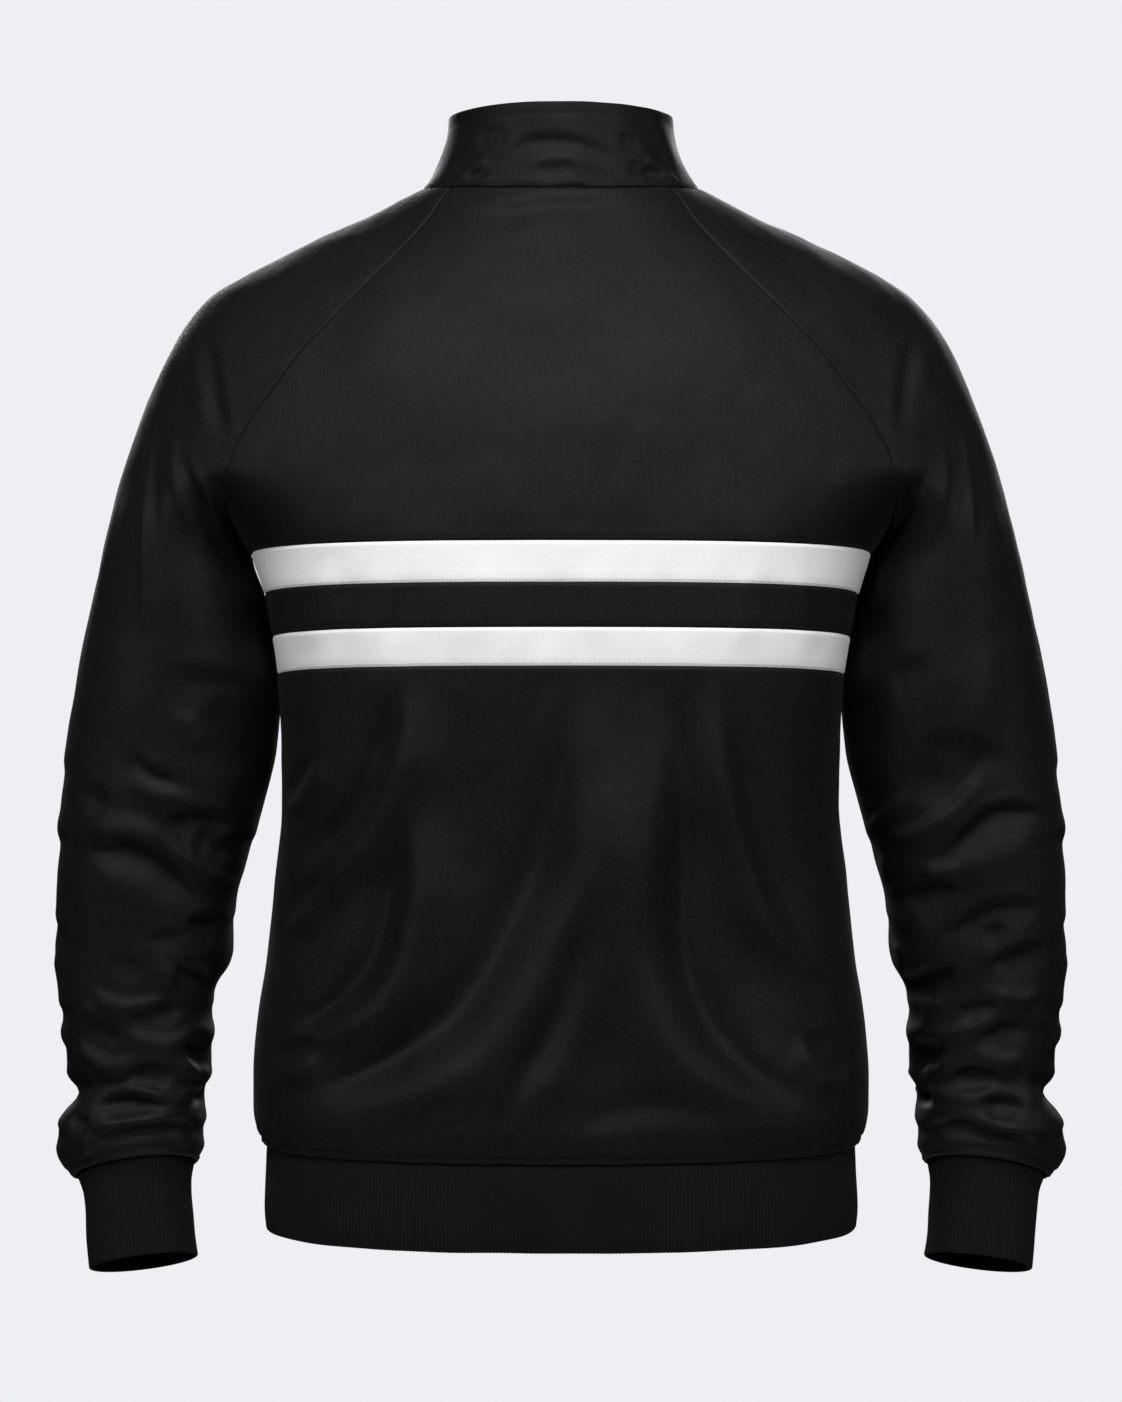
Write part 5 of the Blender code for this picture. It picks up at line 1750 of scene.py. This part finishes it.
@dataclass
class Sleeves:
    """The two one-piece raglan sleeves, from the neck to the cuff seam."""

    black: bpy.types.Material
    cut: Cut = Cut(Slot.BLACK_TRICOT, (0.46, 0.74), 0.25)
    probe_turn: float = 0.35

    def marks(self, side: Side) -> tuple[Fold, ...]:
        """Folds of a sleeve: its own behind, the other arm's in front, and shared ones outside and inside.

        Args:
            side: which sleeve.

        Returns:
            The folds.
        """
        near, far = (LEFT_ARM_ROWS, RIGHT_ARM_ROWS)[::side.value]
        inside = tuple(row for row in OUTSIDE_ROWS if row[3][0][1] < ELBOW_LEVEL)
        return (
            *folds(View.BEHIND, near, *ARM_FACTORS),
            *folds(View.FRONT, mirrored(far), *ARM_FACTORS),
            *folds(View.OUTSIDE, OUTSIDE_ROWS, *OUTSIDE_FACTORS),
            *folds(View.INSIDE, inside, *INSIDE_FACTORS),
        )

    def panel(self, side: Side) -> Panel:
        """Grid of a sleeve: open along the raglan seams, a closed tube below the underarm.

        Args:
            side: which sleeve.

        Returns:
            The panel.
        """
        top, foot = NECK_HEIGHT - SEAM_GAP / 2, CUFF_SEAM_HEIGHT + SEAM_GAP / 2
        steps = np.linspace(top, UNDERARM_HEIGHT, 500)
        upper = spread_evenly(steps, FORM.sleeve(steps, self.probe_turn), SLEEVE_PITCH, fine_end=False)
        steps = np.linspace(UNDERARM_HEIGHT, foot, 700)
        lower = spread_evenly(steps, FORM.sleeve(steps, self.probe_turn), SLEEVE_PITCH, fine_start=False)
        turns = np.linspace(0.0, 1.0, SLEEVE_PLACES)
        points = laid_out(FORM.sleeve, np.concatenate((upper, lower[1:])), turns)
        panel = Panel(side.named("sleeve"), side.take(points), BODY_WALL, len(upper) - 1)
        panel.fold(self.marks(side), *ARM_RIPPLES).sew(Edge.FIRST, Edge.LAST, Edge.TOP)
        return panel.welt(Edge.BOTTOM).gather(Edge.BOTTOM, *CUFF_GATHER, seed=60 + side.value)

    def build(self) -> None:
        """Make and dress both sleeves."""
        for side in Side:
            make_cloth(self.panel(side), self.black, self.cut)


@dataclass
class Collar:
    """The stand collar, turned at its top edge and stitched below it and just above its seam."""

    black: bpy.types.Material
    thread: bpy.types.Material
    cut: Cut = Cut(Slot.BLACK_TRICOT, (0.53, 0.057), 0.0295, "stretched")
    pitch_round: float = 0.0021
    pitch_down: float = 0.0016
    probe_rise: float = 0.6
    probe_angle: float = 0.3

    def panel(self) -> Panel:
        """Grid of the collar, open at the zip, with its folds, turned edges and grooves for the stitches.

        Returns:
            The panel.
        """
        end = pi - ZIP_OPENING / COLLAR_TOP_HALF_WIDTH
        probe = np.linspace(-end, end, 900)
        angles = spread_evenly(probe, FORM.collar(self.probe_rise, probe), self.pitch_round)
        steps = np.linspace(1.0, SEAM_GAP / (COLLAR_TOP_BACK - NECK_HEIGHT), 200)
        rises = spread_evenly(steps, FORM.collar(steps, self.probe_angle), self.pitch_down)
        panel = Panel("collar", pin_at_zip(laid_out(FORM.collar, rises, angles)), COLLAR_WALL)
        panel.fold(folds(View.BEHIND, COLLAR_ROWS, *COLLAR_FACTORS), COLLAR_RIPPLE).calm_at_zip()
        panel.roll(Edge.TOP).sew(Edge.BOTTOM, dip=0.0006).sew(Edge.FIRST, Edge.LAST, dip=0.0003, reach=0.0012)
        panel.groove(Edge.TOP, COLLAR_TOP_STITCH, 0.0004, 0.0012).groove(Edge.BOTTOM, COLLAR_FOOT_STITCH)
        return panel.gather(Edge.BOTTOM, *COLLAR_GATHER, seed=71)

    def build(self) -> None:
        panel = self.panel()
        rows = ((Edge.TOP, COLLAR_TOP_STITCH), (Edge.BOTTOM, COLLAR_FOOT_STITCH))
        make_cloth(panel, self.black, self.cut, Stitching(panel, self.thread, rows))


@dataclass
class RibBands:
    """The ribbed hem and the two ribbed cuffs, each rib four columns wide."""

    rib: bpy.types.Material
    hem_cut: Cut = Cut(Slot.BLACK_RIB, (0.98, 0.058), held="stretched")
    cuff_cut: Cut = Cut(Slot.BLACK_RIB, (0.22, 0.064), held="stretched")
    hem_half_width: float = 0.1994
    hem_level: float = -0.665
    hem_pitch: float = 0.0048
    cuff_level: float = -0.690
    cuff_pitch: float = 0.004
    sewn_share: float = 0.35
    sewn_reach: float = 0.006

    def grid(self, place: Callable[[Array, Array], Array], probe: Array, level: float,
             edges: tuple[float, float], pitch: float) -> Array:
        """Places of a band: whole ribs counted round a level, and rows from its seam to its bottom.

        Args:
            place: its form, by height and angle or turn.
            probe: angles or turns once round it.
            level: height at which its ribs are evenly wide.
            edges: heights of its seam and its bottom.
            pitch: of its rows.

        Returns:
            The places.
        """
        length = run_along(place(level, probe), 0)
        columns = PLACES_PER_RIB * round(length[-1] / RIB_PITCH) + 1
        seam, bottom = edges
        heights = seam - SEAM_GAP / 2 - stations(seam - bottom, pitch)
        heights[-1] = bottom
        return laid_out(place, heights, np.interp(np.linspace(0.0, length[-1], columns), length, probe))

    def ribbed(self, panel: Panel, ripple: Ripple) -> Panel:
        """Raise the ribs: two columns up and two down, lower where the band is sewn on.

        Args:
            panel: the band.
            ripple: its slow waves.

        Returns:
            The band.
        """
        panel.fold((), ripple)
        pattern = np.resize((1.0, 1.0, -1.0, -1.0), panel.form.shape[1])
        height = self.sewn_share + (1 - self.sewn_share) * eased(panel.down / self.sewn_reach)
        panel.lift += RIB_RISE * pattern * height
        return panel.sew(Edge.TOP, dip=0.0007).roll(Edge.BOTTOM)

    def hem(self) -> Panel:
        """The hem band, open at the zip.

        Returns:
            The panel.
        """
        end = pi - ZIP_OPENING / self.hem_half_width
        probe = np.linspace(-end, end, 2400)
        edges = HEM_SEAM_HEIGHT, HEM_BOTTOM_HEIGHT
        points = self.grid(partial(FORM.ring, HEM), probe, self.hem_level, edges, self.hem_pitch)
        return self.ribbed(Panel("hem_rib", pin_at_zip(points), RIB_WALL), HEM_RIPPLE)

    def cuff(self, side: Side) -> Panel:
        """A cuff, a closed tube.

        Args:
            side: which cuff.

        Returns:
            The panel.
        """
        probe = np.linspace(0.0, 1.0, 1200)
        edges = CUFF_SEAM_HEIGHT, CUFF_BOTTOM_HEIGHT
        points = self.grid(partial(FORM.arm, CUFF), probe, self.cuff_level, edges, self.cuff_pitch)
        return self.ribbed(Panel(side.named("cuff"), side.take(points), RIB_WALL, 0), CUFF_RIPPLE)

    def build(self) -> None:
        make_cloth(self.hem(), self.rib, self.hem_cut)
        for side in Side:
            make_cloth(self.cuff(side), self.rib, self.cuff_cut)


@dataclass
class Zip:
    """The zip: two woven tapes with their rows of teeth, and the metal slider and pull of the frame."""

    tape: bpy.types.Material
    teeth: bpy.types.Material
    metal: bpy.types.Material
    pitch: float = 0.0016
    tooth: tuple[float, float, float] = (0.00075, 0.0023, 0.0016)
    mesh: float = 0.0004
    sunk: float = 0.0001
    line_step: float = 0.004
    least_step: float = 0.0004
    past_hem: float = 0.0025
    collar_start: float = 0.06
    chest_level: float = -0.4
    chest_half_width: float = 0.19
    end_clear: float = 0.002
    columns: tuple[float, ...] = (TAPE_REACH, 0.0100, 0.0070, 0.0040, 0.0022, 0.0012, ZIP_MIDDLE_GAP)
    cut: Cut = Cut(Slot.BLACK_TAPE, (0.0135, 0.72), held="stretched", rests_on=("front_left", "front_right"))

    def middle_line(self) -> tuple[Array, Array]:
        """Middle of the front from the hem's bottom edge to the zip's top end.

        Returns:
            The line of the cloth's face and how deep the tape lies behind it.
        """
        rib = np.linspace(HEM_BOTTOM_HEIGHT, HEM_SEAM_HEIGHT, 20)
        height = np.linspace(HEM_SEAM_HEIGHT + self.past_hem, NECK_HEIGHT, 260)
        seam = FORM.collar(0.0, pi)[2]
        end = (COLLAR_TOP_FRONT - ZIP_END_BELOW_COLLAR - seam) / (COLLAR_TOP_FRONT - seam)
        rise = np.linspace(self.collar_start, end, 24)
        line = np.concatenate((FORM.ring(HEM, rib, pi), FORM.front(height, 0.0), FORM.collar(rise, pi)))
        deep = np.repeat((RIB_WALL, BODY_WALL, COLLAR_WALL), (len(rib), len(height), len(rise)))
        line[:, 0] = 0.0
        keep = np.append(np.diff(line[:, 2]) > self.least_step, True)
        return line[keep], deep[keep] + TAPE_CLEAR

    def side_tape(self, side: Side, bed: Array) -> Panel:
        """Grid of a tape: its columns lie beside the bed and bend back as the fronts do.

        Args:
            side: which tape.
            bed: middle line that the tapes lie beside.

        Returns:
            The panel.
        """
        across = np.array(self.columns)
        points = bed[::-1, None] + across[None, :, None] * np.array((1.0, 0.0, 0.0))
        bend = FORM.front(self.chest_level, across / self.chest_half_width)[:, 1]
        points[..., 1] += bend - FORM.front(self.chest_level, 0.0)[1]
        return Panel(side.named("zip") + "_tape", side.take(points), TAPE_WALL)

    def build(self) -> None:
        """Make both tapes and rows of teeth, and dress the slider and pull."""
        line, deep = self.middle_line()
        length = run_along(line, 0)
        even = np.arange(0.0, length[-1], self.line_step)
        line, deep = read_line(line, length, even), np.interp(even, length, deep)
        inward = np.cross(unit(np.gradient(line, axis=0)), (1.0, 0.0, 0.0))
        size = np.array(self.tooth) / 2
        for side in Side:
            name = side.named("zip")
            panel = self.side_tape(side, line + inward * deep[:, None])
            tape = settle(panel.build(), self.tape, Slot.BLACK_TAPE, name)
            first = self.pitch * (1 if side is Side.LEFT else 1.5)
            at = np.arange(first, length[-1] - self.end_clear, self.pitch)
            centres, frames = frames_along(line, -inward, at)
            centres = centres - frames[:, 2] * (np.interp(at, even, deep) * 0.5 + self.sunk)[:, None]
            centres[:, 0] += side.value * (size[1] - self.mesh)
            row = repeated(name + "_teeth", centres, frames, BLOCK_CORNERS * size, BLOCK_FACES)
            row.data.shade_flat()
            settle(row, self.teeth, Slot.BLACK_TAPE)
        for name in ("zip_slider", "zip_pull"):
            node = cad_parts[name]
            node.data.materials.clear()
            node.data.materials.append(self.metal)
            LOG.info("%s: dressed", name)


# ---------------------------------------------------------------- studio
@dataclass
class Studio:
    """Pale floor, soft lights and the camera."""

    eye: tuple[float, float, float] = (0.0, 2.2, -0.338)
    lens: float = 83.07
    sensor: float = 36.0
    floor_height: float = -1.45
    floor_radius: float = 0.95
    floor_clear: float = 0.45
    glow: float = 0.009
    backdrop: tuple[float, float, float, float] = (0.855, 0.862, 0.895, 1.0)
    # Columns: name, place, target, size, watts.
    lamps: tuple = (
        ("top", (0.0, 2.4, 2.6), (0.0, 0.0, -0.40), 1.6, 100.0),
        ("side_left", (2.6, 2.8, 0.9), (0.0, 0.0, -0.40), 1.6, 51.0),
        ("side_right", (-2.6, 2.8, 0.9), (0.0, 0.0, -0.40), 1.6, 51.0),
        ("front_left", (1.1, -3.2, 0.9), (0.0, 0.0, -0.40), 1.6, 60.0),
        ("front_right", (-1.1, -3.2, 0.9), (0.0, 0.0, -0.40), 1.6, 60.0),
    )

    def build(self) -> None:
        """Set up the floor, lights, surroundings and camera."""
        self.floor()
        for name, place, target, size, watts in self.lamps:
            data = bpy.data.lights.new(name, "AREA")
            data.shape, data.size, data.energy = "DISK", size, watts
            lamp = bpy.data.objects.new(name, data)
            lamp.location = place
            lamp.visible_camera = False
            lamp.rotation_euler = (Vector(target) - Vector(place)).to_track_quat("-Z", "Y").to_euler()
            bpy.context.scene.collection.objects.link(lamp)
        self.surroundings()
        data = bpy.data.cameras.new("camera")
        data.lens, data.sensor_width, data.clip_end = self.lens, self.sensor, 50.0
        camera = bpy.data.objects.new("camera", data)
        camera.location = self.eye
        camera.rotation_euler = (radians(90), 0.0, radians(180))
        bpy.context.scene.collection.objects.link(camera)
        bpy.context.scene.camera = camera
        bpy.context.scene.view_settings.view_transform = "Standard"

    def floor(self) -> None:
        """Lay a pale round floor: rings of faces whose finish fades out towards the rim."""
        radii = np.linspace(0.0, self.floor_radius, 25)[1:]
        turns = np.linspace(0.0, 2 * pi, 97)[:-1]
        rim = np.stack([np.outer(radii, np.cos(turns)), np.outer(radii, np.sin(turns))], axis=-1)
        points = np.concatenate((rim, np.full((*rim.shape[:2], 1), self.floor_height)), axis=-1)
        points = np.concatenate((points.reshape(-1, 3), [[0.0, 0.0, self.floor_height]]))
        grid = np.arange(len(radii) * len(turns)).reshape(len(radii), len(turns))
        after = np.roll(grid, -1, axis=1)
        rings = np.stack([grid[:-1], grid[1:], after[1:], after[:-1]], axis=-1).reshape(-1, 4)
        middle = np.full(len(turns), len(points) - 1)
        hub = np.stack([middle, grid[0], after[0], middle], axis=-1)[:, :3]
        mesh = bpy.data.meshes.new("floor")
        mesh.from_pydata(points.tolist(), [], rings.tolist() + hub.tolist())
        floor = bpy.data.objects.new("floor", mesh)
        bpy.context.scene.collection.objects.link(floor)
        mixer = Mixer("pale floor")
        place = mixer.node("ShaderNodeTexCoord", {}, {}).out("Object")
        flat = mixer.node("ShaderNodeVectorMath", {"operation": "MULTIPLY"}, {0: place})
        flat.item.inputs[1].default_value = (1.0, 1.0, 0.0)
        flat = {0: flat.out("Vector")}
        away = mixer.node("ShaderNodeVectorMath", {"operation": "LENGTH"}, flat).out("Value")
        span = {"Value": away, "From Min": self.floor_clear, "From Max": 0.98 * self.floor_radius}
        fade = mixer.node("ShaderNodeMapRange", {"interpolation_type": "SMOOTHSTEP"}, span).out("Result")
        grain = mixer.noise(60.0, 3.0)
        colour = mixer.blend(grain, (0.82, 0.82, 0.85), (0.86, 0.86, 0.89))
        look = {"Base Color": colour, "Roughness": 0.8}
        paint = mixer.node("ShaderNodeBsdfPrincipled", {}, look).out("BSDF")
        clear = mixer.node("ShaderNodeBsdfTransparent", {}, {}).out("BSDF")
        both = mixer.node("ShaderNodeMixShader", {}, {0: fade, 1: paint, 2: clear}).out("Shader")
        mixer.node("ShaderNodeOutputMaterial", {}, {"Surface": both})
        mesh.materials.append(mixer.material)

    def surroundings(self) -> None:
        """Surround the set with a pale tone that lights the cloth less than it shows."""
        world = bpy.data.worlds.new("studio")
        world.use_nodes = True
        bpy.context.scene.world = world
        tree = world.node_tree
        tree.nodes.clear()
        seen = tree.nodes.new("ShaderNodeBackground")
        seen.inputs["Color"].default_value = self.backdrop
        light = tree.nodes.new("ShaderNodeBackground")
        light.inputs["Color"].default_value = self.backdrop
        light.inputs["Strength"].default_value = self.glow
        path = tree.nodes.new("ShaderNodeLightPath")
        mix = tree.nodes.new("ShaderNodeMixShader")
        out = tree.nodes.new("ShaderNodeOutputWorld")
        tree.links.new(path.outputs["Is Camera Ray"], mix.inputs[0])
        tree.links.new(light.outputs[0], mix.inputs[1])
        tree.links.new(seen.outputs[0], mix.inputs[2])
        tree.links.new(mix.outputs[0], out.inputs["Surface"])


def main() -> None:
    """Build every part of the jacket in order, then the studio."""
    logging.basicConfig(level=logging.INFO, format="%(name)s %(message)s")
    black = Tricot("black tricot", BLACK_CLOTH, BLACK_CLOTH_WORN).material()
    white = Tricot("white tricot", WHITE_CLOTH, WHITE_CLOTH_WORN, roughness=0.55, gloss=0.3).material()
    black_thread = Thread("black thread", (0.010, 0.010, 0.012)).material()
    white_thread = Thread("white thread", (0.55, 0.55, 0.57)).material()
    Back(black, white, black_thread, white_thread).build()
    Fronts(black, black_thread).build()
    Sleeves(black).build()
    Collar(black, black_thread).build()
    RibBands(RibKnit().material()).build()
    Zip(WovenTape().material(), Thread("zip teeth", (0.012, 0.012, 0.013)).material(),
        DarkMetal().material()).build()
    Studio().build()


if __name__ == "__main__":
    main()
